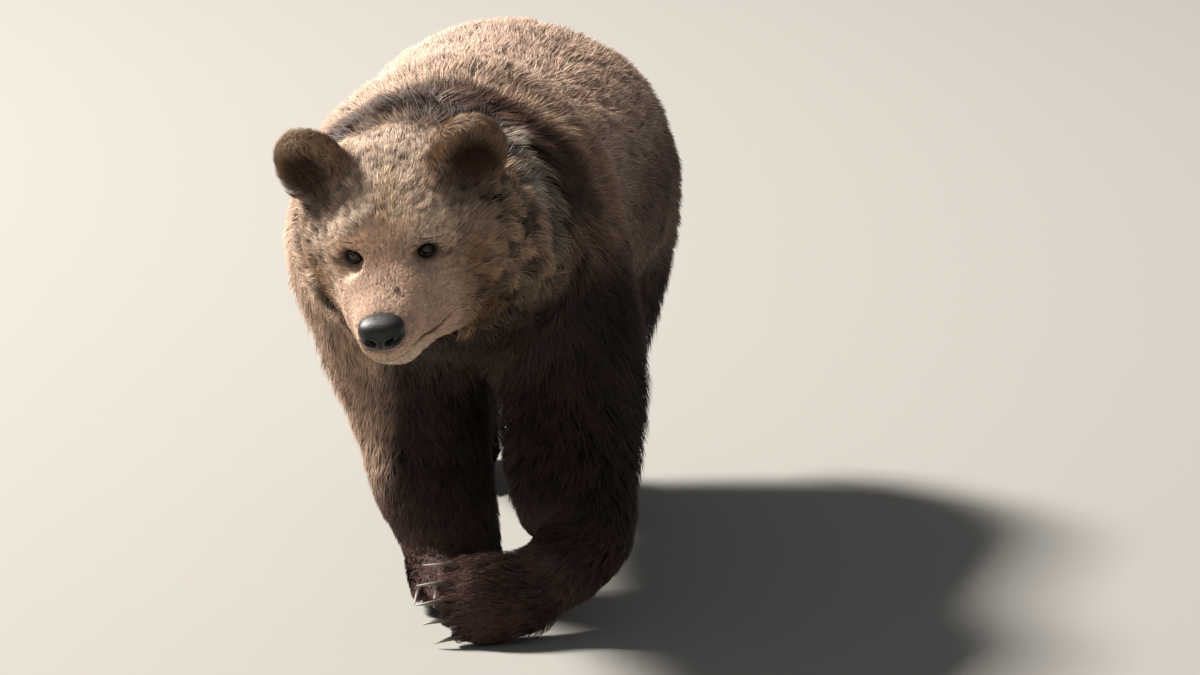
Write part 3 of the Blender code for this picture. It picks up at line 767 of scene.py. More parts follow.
# %% Scattered centres
CHANCE = rng.random((4096, 6))
PRIMES = np.array([73856093, 19349663, 83492791])  # large, so that neighbouring cells use unlike rows


def locks(points, cell):
    """The nearest of the centres scattered one to a cubic cell, and three random numbers of its own."""
    home = np.floor(points / cell).astype(int)
    best = np.full(len(points), 1e9)
    centre, luck = np.zeros((len(points), 3)), np.zeros((len(points), 3))
    for step in np.ndindex(3, 3, 3):
        near = home + np.array(step) - 1
        row = CHANCE[(near @ PRIMES) % len(CHANCE)]
        at = (near + row[:, :3]) * cell
        gap = ((points - at) ** 2).sum(1)
        closer = gap < best
        best[closer], centre[closer], luck[closer] = gap[closer], at[closer], row[closer, 3:]
    return centre, luck


def waves(points, size):
    """Smooth noise between about -1 and 1: three crossed waves bent by each other."""
    a, b, c = (points / size).T * 2 * math.pi
    first = np.sin(a + 1.7 * np.sin(b * 0.7 + 1))
    second = np.sin(b + 1.7 * np.sin(c * 0.8 + 2))
    third = np.sin(c + 1.7 * np.sin(a * 0.6))
    return (first + second + third) / 3


# %% [markdown]
# ## Markings
# The bear is fawn on the back and the forehead, where the long tips are bleached by the sun, and dark
# brown on the hump, chest and legs. Such markings could be painted by hand on an unwrapped skin. Here
# they are a function of the place on the body, so that skin and hair ask it alike, and its soft masks
# have no seams. It gives one colour for the roots and one for the tips, because partings show a dark
# undercoat.
# Some masks also paint light and shade into the coat: painted shade on the trunk's sides, the left cheek,
# chest, legs, eye hollows and ear bases, and a painted highlight or sheen on the right foreleg, the left
# wrist and the neck.


# %% Colours by place
PALE_COLLAR_AND_SHEEN = [  # patches of pale hair behind the left ear and down the neck, painted paler still as a sheen of light along its ridge: centre, radii
    ((0.132, -0.272, 0.822), (0.040, 0.042, 0.045)),
    ((0.186, -0.315, 0.755), (0.040, 0.042, 0.055)),
    ((0.222, -0.318, 0.670), (0.036, 0.036, 0.060)),
]


def coat_colours(points):
    """Linear colours of the root and the tip of the hair, from soft masks painted one over the other."""
    q = in_face(points)
    m = mirrored(q)
    x, y, z = points.T
    out, ahead, up = q.T
    fore = smooth(-0.13, -0.03, ahead) * smooth(0.165, 0.135, out) * smooth(-0.178, -0.150, out)
    patchy = 0.85 + 0.3 * waves(points, 0.035)
    collar_and_sheen = [spot(points, centre, radii) for centre, radii in PALE_COLLAR_AND_SHEEN]
    mane = smooth(-0.085, -0.135, y) * smooth(0.56, 0.72, z)
    chest_and_its_shade = smooth(0.62, 0.52, z) * smooth(0.02, -0.12, y) * smooth(-0.15, -0.08, x)
    # The outer side of the right foreleg faces the light: tan hair painted as bright as its lit side,
    # partly a painted highlight.
    elbow_tan_and_highlight = smooth(0.74, 0.60, z) * smooth(-0.09, -0.17, x) * smooth(0.2, 0.1, y)
    shin_tan_and_highlight = smooth(0.15, 0.24, z) * smooth(0.56, 0.40, z) * smooth(-0.075, -0.125, x)
    shaded_left_cheek = smooth(0.06, 0.13, out) * smooth(0.05, -0.03, up)
    layers = [
        (np.ones(len(points)), "#4f3b2f", "#cfb19c"),  # back and rump
        (smooth(0.70, 0.50, z), "#37291f", "#8d7262"),  # lower flank
        (smooth(0.23, 0.30, np.abs(x)) * smooth(0.75, 0.62, z), "#35281f", "#7b6454"),  # the trunk's bulging sides, darker: painted shade
        (smooth(0.50, 0.38, z), "#261c16", "#5b483c"),  # belly
        (smooth(0.16, 0.00, y) * smooth(0.90, 0.74, z), "#38291f", "#a3836d"),  # shoulders
        (smooth(0.0, -0.045, y) * smooth(0.76, 0.80, z), "#49362b", "#c6a78f"),  # behind the hump
        (mane, "#1d130d", "#523a2b"),
        (smooth(0.66, 0.50, z) * smooth(0.10, 0.0, y), "#1f1510", "#5c4537"),  # under the shoulders: dark hair, darkened further as painted shade
        (smooth(-0.25, -0.31, y) * smooth(0.05, 0.12, x), "#120d0a", "#a3886f"),  # ruff on the left
        (smooth(-0.24, -0.30, y) * smooth(0.0, -0.07, x), "#33261d", "#a98c72"),  # and on the right
        # Pale collar: partly real pale hair, partly a painted sheen of light
        (0.9 * patchy * collar_and_sheen[0], "#4f4036", "#d5c5b4"),
        (0.9 * patchy * collar_and_sheen[1], "#4f4036", "#d5c5b4"),
        (0.7 * patchy * collar_and_sheen[2], "#3d3028", "#a89888"),
        # Chest: dark brown hair, darkened further as painted shade
        (chest_and_its_shade, "#150f0b", "#38281f"),
        (smooth(0.48, 0.36, z), "#18110e", "#433128"),  # legs: dark brown hair, darkened further as painted shade
        (elbow_tan_and_highlight, "#3a2a20", "#d2b29a"),  # tan outer hair of the right foreleg, above, painted as bright as in full light: partly a painted highlight
        (shin_tan_and_highlight, "#3a2a20", "#c8a892"),  # and below, likewise partly a painted highlight
        (smooth(0.20, 0.10, z), "#1f1411", "#5c443c"),  # paws
        # Top of the bent left wrist, painted lighter: reddish hair, partly a painted highlight where
        # light falls on it
        (0.7 * spot(points, (0.218, -0.205, 0.150), (0.045, 0.045, 0.03)), "#33241f", "#80675f"),
        (fore, "#46342a", "#e2c4ac"),  # head
        (0.7 * fore * spot(m, (0, 0.07, 0.075), (0.016, 0.08, 0.03)), "#644c39", "#e6c49f"),  # brow
        (fore * smooth(0.0, -0.07, up) * smooth(0.13, 0.08, ahead), "#2f2219", "#9c7a5b"),  # cheeks
        # The left cheek, turned from the light, painted darker: painted shade
        (0.8 * fore * shaded_left_cheek, "#2a1d15", "#8a6a4c"),
        (fore * smooth(-0.09, -0.15, up) * smooth(0.20, 0.12, ahead), "#211711", "#63492f"),  # throat
        (smooth(0.10, 0.20, ahead), "#6f5748", "#d4b39c"),  # muzzle
        (smooth(0.21, 0.28, ahead) * smooth(-0.072, -0.085, up), "#8f7a66", "#d6c2aa"),  # chin
        (spot(m, (0.058, 0.125, 0.002), (0.020, 0.028, 0.015)), "#241a14", "#55412f"),  # round the eyes: dark hair, and painted shade in the hollows under the brows
        (0.8 * spot(m, (0.084, 0.110, -0.008), (0.016, 0.024, 0.006)), "#2c2019", "#5b4637"),
        (0.85 * spot(q, (0.020, 0.222, 0.0), (0.005, 0.007, 0.012)), "#30221c", "#46352c"),  # a scar
    ]
    for s in (-1, 1):
        e = in_ear(q, s)
        ear = spot(e, (0, 0, 0.022), (0.062, 0.055, 0.060))
        rim = smooth(0.66, 1.0, np.linalg.norm((e / EAR_RADII)[:, [0, 2]], axis=1))
        layers.append((ear, "#1d130d", "#543a2a"))
        layers.append((ear * rim * smooth(-0.03, 0.02, e[:, 2]), "#4a3628", "#b59677"))
        # Base of each ear, darker: painted shade where the ear meets the head
        layers.append((0.8 * spot(e, (0, 0, -0.050), (0.065, 0.055, 0.035)), "#1b120c", "#4b3628"))
    root, tip = np.zeros((len(points), 3)), np.zeros((len(points), 3))
    for share, dark, pale in layers:
        root, tip = blend(root, linear(dark), share), blend(tip, linear(pale), share)
    return root, tip


# %% [markdown]
# ## Skin with its colours
# Skin is seen between the hairs of the face and paws. It takes the colour of the roots where the coat
# is long, and of the hair itself on the muzzle, where the real hair is too short and close for these
# tufts. The line of the mouth and the edges of nose and eyes are bare and nearly black.


# %% Bare skin
def give_colours(mesh, name, values):
    """Stores linear colours on the mesh's points."""
    stored = mesh.attributes.new(name, "FLOAT_COLOR", "POINT")
    with_alpha = np.column_stack([values, np.ones(len(values))]).astype(np.float32)
    stored.data.foreach_set("color", with_alpha.ravel())


def bare(points):
    """1 where no hair grows: in the line of the mouth, on the rims of the lids and round the nose."""
    q = in_head(points)
    m = mirrored(q)
    line = np.exp(-(((m[:, 2] - mouth_line(m[:, 1])) / 0.0042) ** 2))
    line = line * smooth(0.165, 0.215, m[:, 1])
    eye = smooth(0.0165, 0.0147, np.linalg.norm(m - np.array(EYE_AT), axis=1))
    from_nose = (q - np.array(NOSE_AT)) / np.array(NOSE_RADII)
    nose = smooth(1.13, 1.04, np.linalg.norm(from_nose, axis=1))
    return np.maximum.reduce([line, eye, nose])


# %% Make the skin
root, tip = coat_colours(points)
short = smooth(0.014, 0.005, coat_depth(points))
tone = blend(root * 0.75, 0.5 * (root + tip), short)
tone = tone * (1 + 0.12 * waves(points, 0.011))[:, None]
tone = blend(tone, linear("#120d0b"), 0.93 * bare(points))
skin_mesh.vertices.foreach_set("co", (points + MOVED).ravel())
skin_mesh.polygons.foreach_set("use_smooth", np.ones(len(skin_mesh.polygons), bool))
give_colours(skin_mesh, "markings", tone)
# Dry, grained hide: it shines hardly at all, so between the tufts the eye sees shade and not a shell.
hide = surface("bear_hide", attribute="markings", roughness=0.6, specular=0.3)
bump(hide, 900.0, 0.0008, 0.5)
skin_mesh.materials.append(hide)
skin = bpy.data.objects.new("skin", skin_mesh)
bpy.context.scene.collection.objects.link(skin)
flesh = [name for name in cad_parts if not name.startswith(("eye", "nose", "claw"))]
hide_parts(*flesh)
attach(skin, "root")
print("skin stands for", len(flesh), "solids, with", len(points), "points")


# %% [markdown]
# ## Surfaces from two parameters
# Eyeballs, lids, nose and claws are smooth forms with an axis. They could be cut and bent from
# Blender's own spheres and cones. Each is a grid of points from a formula in two parameters instead,
# one round the axis and one along it, so that a groove or a rim is one more term.


# %% Grids
def sheet_object(name, grid_points, material, colours=None):
    """A smooth object from points [piece, i, j], closed round in i, with doubled points welded."""
    grid_points = np.asarray(grid_points)
    p, n, k = grid_points.shape[:3]
    c, i, j = np.meshgrid(np.arange(p), np.arange(n), np.arange(k - 1), indexing="ij")
    a, b = (c * n + i) * k + j, (c * n + (i + 1) % n) * k + j
    faces = np.stack([a, b, b + 1, a + 1], -1).reshape(-1, 4)
    mesh = bpy.data.meshes.new(name)
    mesh.from_pydata((grid_points.reshape(-1, 3) + MOVED).tolist(), [], faces.tolist())
    if colours is not None:
        give_colours(mesh, "tint", np.asarray(colours).reshape(-1, 3))
    bm = bmesh.new()
    bm.from_mesh(mesh)
    bmesh.ops.remove_doubles(bm, verts=bm.verts, dist=1e-6)
    bmesh.ops.recalc_face_normals(bm, faces=bm.faces)
    bm.to_mesh(mesh)
    bm.free()
    mesh.polygons.foreach_set("use_smooth", np.ones(len(mesh.polygons), bool))
    mesh.materials.append(material)
    obj = bpy.data.objects.new(name, mesh)
    bpy.context.scene.collection.objects.link(obj)
    return obj


# %% [markdown]
# ## Eyes
# A bear's eye is a dark brown ball of 25 mm that shows about 20 mm between thick black lids. Lids could
# be pulled out of the skin, but its mesh is too coarse for a rim of 2 mm. So each ball is a sphere
# round the axis of sight with a slightly raised cornea, and the lids are a second shell round it with
# an almond opening: its edge touches the ball, swells into a rim, and sinks under the skin.


# %% Eyeballs
def eye_axes(s):
    """Rows are outward in the face, up along it, and the way the eye looks, in the head's axes."""
    look = unit((s * 0.46, 0.86, 0.20))
    outer = unit(np.cross(look, (0, 0, 1.0)))
    outer = outer * np.sign(outer[0] * s)
    high = np.cross(look, outer)
    return np.array([outer, high * np.sign(high[2]), look])


def round_eye(s, local):
    """Eye coordinates to world points."""
    return out_of_head(np.array(EYE_AT) * (s, 1, 1) + local @ eye_axes(s))


# Wet, clear cornea over a brown iris: nearly a mirror, whose small highlight makes the eye look alive.
glassy = surface("eye_cornea_and_iris", attribute="tint", roughness=0.05, specular=0.5, coat=0.2)
for s, side in ((1, "left"), (-1, "right")):
    u = np.linspace(0, 2 * np.pi, 64, endpoint=False)[:, None]
    v = (np.linspace(0, 1, 56) ** 1.15 * np.pi)[None, :]
    r = EYE_RADIUS * (1 + 0.055 * smooth(0.62, 0.0, v))
    local = np.stack([r * np.sin(v) * np.cos(u), r * np.sin(v) * np.sin(u), r * np.cos(v) + 0 * u], -1)
    rays = 0.85 + 0.15 * np.sin(u * 23 + 3 * np.sin(u * 7)) * np.ones_like(v)
    iris = linear("#351d0e") * rays[..., None] * (1.0 - 0.45 * smooth(0.50, 0.62, v))[..., None]
    iris = blend(iris, linear("#040303"), np.broadcast_to(smooth(0.30, 0.25, v), rays.shape))
    tint = blend(iris, linear("#1f1510"), np.broadcast_to(smooth(0.66, 0.74, v), rays.shape))
    ball = sheet_object(f"eyeball_{side}", round_eye(s, local)[None], glassy, tint)
    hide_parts(f"eye_{side}")
    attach(ball, "root")
print("eyeballs", [round(v * 1000, 1) for v in ball.dimensions], "mm")

# %% Lids
HALF_OPENING, ABOVE, BELOW = 0.0103, 0.0058, 0.0047  # of the almond between the lids
# Section of a lid, from its edge on the ball outwards: rim, furrow, fold, and the end under the skin
LID_PLACES = [0.0, 0.05, 0.12, 0.22, 0.34, 0.42, 0.52, 0.70, 1.0]
LID_HEIGHTS = [0.0001, 0.0012, 0.0019, 0.0021, 0.0015, 0.0011, 0.0022, 0.0018, -0.0030]
# Thin black skin, a little greasy: its soft sheen draws a line round the eye.
lid_skin = surface("eyelid_skin", attribute="tint", roughness=0.42, specular=0.45)
bump(lid_skin, 1400.0, 0.0004, 0.5)
for s, side in ((1, "left"), (-1, "right")):
    u = np.linspace(0, 2 * np.pi, 96, endpoint=False)[:, None]
    v = np.linspace(0, 1, 34)[None, :]
    tall = np.where(np.sin(u) > 0, ABOVE, BELOW)
    corner = -0.0016 * smooth(0.6, 1.0, -np.cos(u))
    upward = tall * np.sin(u) * (1 - 0.18 * np.cos(u)) + corner
    flat = np.concatenate([HALF_OPENING * np.cos(u), upward], 1)
    start = np.arcsin(np.linalg.norm(flat, axis=1, keepdims=True) / (EYE_RADIUS + 0.0006))
    theta = start + (math.radians(112) - start) * v**1.25
    r = EYE_RADIUS + np.interp(v, LID_PLACES, LID_HEIGHTS)
    r = r + 0.0007 * np.sin(u) * np.exp(-(((v - 0.62) / 0.16) ** 2))
    r = r + 0.0004 * smooth(0.3, 0.0, v) * np.sin(u)
    way = unit(flat)
    out = r * np.sin(theta)
    local = np.stack([out * way[:, :1], out * way[:, 1:], r * np.cos(theta)], -1)
    rim = smooth(0.55, 0.2, v) * np.ones_like(u)
    tint = blend(linear("#1c1512"), linear("#0d0a09"), rim)
    tear = smooth(0.80, 1.0, -np.cos(u)) * smooth(0.16, 0.02, v)
    tint = blend(tint, linear("#7c544c"), tear)
    lid = sheet_object(f"eyelids_{side}", round_eye(s, local)[None], lid_skin, tint)
    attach(lid, "root")
print("lids open", round(HALF_OPENING * 2000, 1), "by", round((ABOVE + BELOW) * 1000, 1), "mm")

# %% [markdown]
# ## Nose
# The pad is a blunt wedge, wide above and flat in front, with two nostrils that open forward and curl
# out to the sides, and a groove down the middle. Cutting holes would leave hard edges, so the points of
# a fine rounded block are pushed in instead, by masks for the holes, the slits and the groove.

# %% Nose pad
u = np.linspace(0, 2 * np.pi, 200, endpoint=False)[:, None]
v = np.linspace(0, np.pi, 150)[None, :]
ball = np.stack([np.sin(v) * np.cos(u), np.cos(v) * np.ones_like(u), np.sin(v) * np.sin(u)], -1)
ball = np.sign(ball) * np.abs(ball) ** 0.80
ball[..., 0] *= 1 + 0.18 * ball[..., 2]
local = ball * np.array(NOSE_RADII)
front = smooth(0.0, 0.45, ball[..., 1])
way = unit(local / np.array(NOSE_RADII) ** 2)
print("nose block of", local.shape[0] * local.shape[1], "points")

# %% Nostrils, groove and pebbles
a, c = np.abs(local[..., 0]), local[..., 2]
hole = smooth(1.25, 0.55, np.hypot((a - 0.0150) / 0.0074, (c + 0.0020 - 0.35 * (a - 0.015)) / 0.0056))
slit = smooth(1.2, 0.4, np.hypot((a - 0.0255) / 0.0085, (c + 0.0035 - 0.5 * (a - 0.0255)) / 0.0019))
groove = np.exp(-((a / 0.0014) ** 2)) * smooth(0.012, -0.004, c)
wing = np.exp(-(((np.hypot((a - 0.015) / 0.0074, (c + 0.002) / 0.0056) - 1.5) / 0.35) ** 2))
sink = front * (0.0085 * hole + 0.0045 * slit + 0.0018 * groove - 0.0010 * wing)
local = local - way * sink[..., None]
pebble = 0.00022 * waves(local.reshape(-1, 3), 0.0021).reshape(a.shape)
local = local + way * (pebble * (1 - front * hole))[..., None]
print("nostrils up to", round(1000 * sink.max(), 1), "mm deep")

# %% Leather
# Nostrils painted black, darker than the leather: painted shade in the holes.
dark = np.maximum(front * hole, front * slit * 0.9)
tint = blend(linear("#0d0c0c"), linear("#030202"), dark)
# Top of the pad painted lighter grey: a painted reflection of the sky on the moist leather.
tint = blend(tint, linear("#2c2928"), 0.8 * smooth(0.3, 0.9, way[..., 2]) * (1 - dark))
# Pebbled black leather, a little moist: broken small lights on top; its tint also holds a painted grey
# reflection on top and painted black shade inside the nostrils.
leather = surface("nose_leather", attribute="tint", roughness=0.42, specular=0.45)
bump(leather, 1500.0, 0.0004, 0.6, 2.0)
local = local + np.array(NOSE_AT)
nose = sheet_object("nose_pad", out_of_head(local)[None], leather, tint)
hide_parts("nose")
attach(nose, "root")
print("nose pad", [round(d * 1000, 1) for d in nose.dimensions], "mm")

# %% [markdown]
# ## Claws
# Twenty horn claws, one from each toe, ribbed along their length, dark at the root and pale at the worn
# tip. A curve with a bevel would give round ones. Rings of points along the same curves as the packed
# claws can also be flattened at the sides and ribbed.

# %% Claws
rings, sides = 22, 20
a = np.linspace(0, 2 * np.pi, sides, endpoint=False)
t = np.linspace(0, 1, rings)
rows, tints = [], []
for name in PAWS:
    length = CLAW_LENGTH[name.split("_")[0]]
    for k in TOES:
        reach = np.stack([0.004 * k * t, 0.012 + (length + 0.004) * t, 0.008 - 0.016 * t**2], 1)
        line = toe_at(name, k) + reach
        along = unit(np.gradient(line, axis=0))
        top = unit(np.cross(np.cross(along, [0, 0, 1.0]), along))
        across = np.cross(along, top)
        radius = CLAW_RADIUS * (1 - 0.93 * t**1.7)
        ring = 0.88 * np.cos(a)[None, :, None] * across[:, None, :]
        ring = ring + 1.05 * np.sin(a)[None, :, None] * top[:, None, :]
        ring = ring * (1 + 0.03 * np.cos(5 * a))[None, :, None]
        claw = line[:, None, :] + ring * radius[:, None, None]
        claw[0], claw[-1] = line[0], line[-1]
        rows.append(np.array(PAWS[name][0]) + claw.transpose(1, 0, 2) @ paw_axes(name))
        pale = smooth(0.25, 1.0, t)[None, :] * np.ones((sides, 1))
        streak = 0.85 + 0.15 * np.sin(a * 3 + k)[:, None] * np.ones((1, rings))
        shade = blend(linear("#40372f"), linear("#b0a697"), pale)
        tints.append((shade * streak[..., None]).reshape(-1, 3))
# Horn worn smooth by the ground: long soft lights along each claw.
horn = surface("claw_horn", attribute="tint", roughness=0.38, specular=0.5)
bump(horn, 700.0, 0.0003, 0.4)
claws = sheet_object("claws", rows, horn, tints)
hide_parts(*[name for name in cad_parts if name.startswith("claw")])
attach(claws, "root")
print(len(rows), "claws,", [round(v * 1000) for v in CLAW_LENGTH.values()], "mm on fore and hind paws")


# %% [markdown]
# ## The lie of the coat
# Hair points away from the nose over the head, back along the trunk and down its sides, and down the
# legs to the toes. It spreads round each eye, and stands up along the ear. Groomers comb it with guide
# hairs. Here the direction is a soft mix of such rules, flattened onto the surface where it is used, so
# that there is no guide to place by hand.


# %% Directions
def lie(points):
    """Direction of the hair at each point, before it is laid flat on the surface."""
    q = in_face(points)
    x, y, z = points.T
    one, side = np.ones(len(points)), np.clip(x / 0.18, -1, 1)
    way = np.stack([0.10 * side, one, -0.05 - 0.85 * smooth(0.86, 0.58, z)], 1)
    wrist = spot(points, (0.205, -0.200, 0.150), (0.10, 0.10, 0.075))
    rules = [
        (smooth(0.16, -0.16, y) * smooth(0.60, 0.80, z), (0.45 * side, 0.85 * one, -0.25 * one)),
        (smooth(-0.14, -0.30, y), (0.60 * side, 0.55 * one, -0.70 * one)),
        (smooth(0.0, -0.15, y) * smooth(0.70, 0.56, z), (0.15 * side, 0.10 * one, -one)),
        (smooth(0.50, 0.38, z), (0.0 * one, 0.22 * one, -one)),
        (spot(points, (0, 0.99, 0.66), (0.08, 0.07, 0.12)), (0.1 * side, 0.25 * one, -one)),
        (wrist, (-0.65 * one, -0.35 * one, -0.55 * one)),
    ]
    for share, rule in rules:
        way = blend(way, np.stack(rule, 1), share)
    for name in PAWS:
        e = in_paw(points, name)
        local = unit(np.stack([3 * e[:, 0], one, -0.10 * one], 1)) @ paw_axes(name)
        share = smooth(-0.13, -0.03, e[:, 1]) * spot(e, (0, 0.02, 0), (0.095, 0.16, 0.095))
        way = blend(unit(way), local, share)
    m = mirrored(q)
    away = unit(q - np.array([0.0, 0.345, -0.030]))  # from a place before the nose
    away[:, 2] -= 0.7 * smooth(-0.02, -0.10, q[:, 2]) * smooth(0.20, 0.05, q[:, 1])
    fan = np.stack([0.25 * np.tanh(q[:, 0] / 0.03), 0 * one, 0.20 * one], 1)
    away = away + fan * spot(q, (0, 0.08, 0.06), (0.09, 0.08, 0.06))[:, None]
    lips = np.exp(-(((m[:, 2] - mouth_line(m[:, 1])) / 0.010) ** 2)) * smooth(0.12, 0.16, q[:, 1])
    away[:, 2] *= 1 - 0.95 * lips
    from_eye = (m - np.array(EYE_AT)) * np.stack([np.sign(q[:, 0]), one, one], 1)
    away = blend(away, unit(from_eye) + 0.5 * away, spot(m, EYE_AT, (0.022, 0.03, 0.020)))
    way = blend(unit(way), away @ head_axes(), smooth(-0.16, -0.06, q[:, 1]))
    for s in (-1, 1):
        e = in_ear(q, s)
        local = np.stack([8 * e[:, 0], 0.1 * one, one], 1) @ ear_axes(s)
        way = blend(way, unit(local) @ head_axes(), spot(e, (0, 0, 0.016), (0.066, 0.055, 0.062)))
    return unit(way)


# %% [markdown]
# ## Roots
# Roots stand closer together where the hair is short: about 0.8 mm apart on the muzzle and 3 mm on the
# back. Real underfur is a hundred times denser, so each tuft stands for a wisp of hairs. A particle
# system would scatter them too. Doing it here with whole arrays lets any rule set how close they are.


# %% Scatter the roots
def scatter(mesh_points, triangles, weight, count):
    """Random points on the triangles, with chances by area times weight, and evenly within each one."""
    a, b, c = (mesh_points[triangles[:, k]] for k in range(3))
    share = np.linalg.norm(np.cross(b - a, c - a), axis=1) * weight(a)
    pick = np.searchsorted(np.cumsum(share) / share.sum(), rng.random(count))
    pick = np.minimum(pick, len(triangles) - 1)
    u, v = np.sqrt(rng.random(count)), rng.random(count)
    return a[pick] * (1 - u)[:, None] + b[pick] * (u * (1 - v))[:, None] + c[pick] * (u * v)[:, None]


def closeness(points):
    """How many roots a square metre should have beside other places: one over the spacing squared."""
    pitch = 0.00105 + 0.045 * coat_depth(points)
    _, slope = height(points)
    y, z, facing = points[:, 1], points[:, 2], unit(slope)[:, 2]
    under = smooth(-0.55, -0.9, facing)
    ground = smooth(0.030, 0.012, z) * smooth(-0.5, -0.8, facing)
    wanted = 1 + 0.9 * smooth(-0.10, -0.20, y) * smooth(0.46, 0.56, z)
    wanted = wanted + 0.5 * smooth(0.02, -0.08, y) * smooth(0.5, 0.6, z)
    wanted = wanted * (1 - 0.30 * smooth(0.44, 0.34, z))
    wanted = wanted * (1 - 0.45 * smooth(0.44, 0.34, z) * smooth(0.1, 0.3, y))
    return wanted * (1 - 0.6 * under) * (1 - ground) * (1 - 0.97 * bare(points)) / pitch**2


# %% The roots
TUFTS = 510000
skin_mesh.calc_loop_triangles()
triangles = np.empty(len(skin_mesh.loop_triangles) * 3, np.int32)
skin_mesh.loop_triangles.foreach_get("vertices", triangles)
roots = scatter(points, triangles.reshape(-1, 3), closeness, TUFTS)
roots = roots[bare(roots) < 0.5]
print(len(roots), "roots")


# %% [markdown]
# ## Growing the tufts
# A tuft is a flat wisp of hairs that leaves the skin steeply, bends over and lies along the body, with
# its tip at the outline. Hair curves are the usual way, but they can't be baked or passed on as plain
# meshes, so each tuft is a tapering ribbon of five points, with its sides turned by chance so that
# light catches some and not others. Tufts of one lock draw together towards the tip, and on the neck
# and shoulders they curl to one side.


# %% Rules of growth
ROWS = np.array([0.0, 0.2, 0.4, 0.58, 0.76, 0.89, 1.0])  # places along a hair where it is steered
KEPT, WIDTHS = [0, 3], [0.9, 1.0]  # rows with two points in the mesh; the tip is the fifth point
LOCK_CURLY, LOCK_LONG, LOCK_MIDDLE, LOCK_SHORT = 0.019, 0.015, 0.010, 0.005  # across, in metres
WIDE_LOCK = 2.6  # size of the wider locks that share length and shade, in locks


def standing(points):
    """Two masks: the ears, where hair stands up, and the toes, where it is longer."""
    q = in_head(points)
    ears = [spot(in_ear(q, s), (0, 0, 0.020), (0.062, 0.055, 0.062)) for s in (-1, 1)]
    toes = np.zeros(len(points))
    for name in PAWS:
        e = in_paw(points, name)
        toes = np.maximum(toes, spot(e, (0, PAWS[name][3] + 0.020, 0.0), (0.070, 0.022, 0.030)))
    return np.maximum(*ears), toes


def locks_by_depth(roots, depth, curly):
    """Centre and chances of each root's lock, small in a short coat, and its wide lock's chances."""
    long = np.where(curly > 0.5, LOCK_CURLY, LOCK_LONG)
    cell = np.where(depth > 0.026, long, np.where(depth > 0.009, LOCK_MIDDLE, LOCK_SHORT))
    centre, shared, wide = (np.zeros((len(roots), 3)) for _ in range(3))
    for size in np.unique(cell):
        some = cell == size
        centre[some], shared[some] = locks(roots[some], size)
        wide[some] = locks(roots[some], size * WIDE_LOCK)[1]
    return centre, shared, wide


def flattened(ways, normals):
    """The ways less their share along the normals."""
    return ways - normals * (ways * normals).sum(1, keepdims=True)


# %% Spines
def spines(at, way, length, depth, reach, pull, curl, toes):
    """Points [hair, row] of hairs that are steered along the surface row by row.

    At share t of its length a hair is held at -depth * (1 - reach * (1 - (1 - t)^1.7)) in the field.
    """
    rows = [at]
    for k in range(1, len(ROWS)):
        t, before = ROWS[k], ROWS[k - 1]
        _, slope = height(at)
        way = unit(flattened(way, unit(slope)))
        at = at + way * (length * (t - before))[:, None]
        at = at + pull * (0.40 * (t**1.6 - before**1.6))
        at = at + curl * (np.sin(t * 4.2) - np.sin(before * 4.2))
        wanted = -depth * (1 - reach * (1 - (1 - t) ** 1.7))
        value, slope = height(at)
        steep = np.maximum(np.linalg.norm(slope, axis=1), 0.5)
        hold = 1 - 0.75 * toes * (k > 3)
        at = at - unit(slope) * (hold * np.clip((value - wanted) / steep, -0.02, 0.02))[:, None]
        rows.append(at)
    spine = np.stack(rows, 1)
    spine[..., 2] = np.maximum(spine[..., 2], 0.0006)
    return spine


def ribbons(spine, width, luck):
    """The five points of each ribbon: two at each kept row, turned about the hair, and the tip."""
    _, slope = height(spine[:, 3])
    normal, ahead = unit(slope), unit(spine[:, 4] - spine[:, 2])
    lean = np.radians(70) * (luck - 0.5)
    across = unit(np.cross(ahead, normal)) * np.cos(lean)[:, None] + normal * np.sin(lean)[:, None]
    made = []
    for row, share in zip(KEPT, WIDTHS):
        half = across * (0.5 * width * share)[:, None]
        made += [spine[:, row] - half, spine[:, row] + half]
    made = np.stack([*made, spine[:, -1]], 1)
    made[..., 2] = np.maximum(made[..., 2], 0.0004)
    return made


# %% Colours along a hair
def tuft_colours(root, tip, shade, depth, luck):
    """Colours of the five points: dark root to pale tip, more of it bleached in a short coat."""
    steps = np.array([0.0, 0.0, 0.62, 0.62, 1.0])
    short = smooth(0.016, 0.005, depth)
    bleach = steps[None, :] + 0.35 * short[:, None] + 0.25 * (luck[:, 2, None] - 0.5) * steps
    bleach = np.clip(bleach, 0, 1) ** 1.5 * (1 + 0.35 * (luck[:, 0, None] > 0.75))
    tone = root[:, None] * (0.8 + 0.2 * steps[:, None]) + (tip - root)[:, None] * bleach[..., None]
    return np.clip(tone * np.clip(shade, 0.3, 1.7)[:, None, None], 0.001, 0.9)


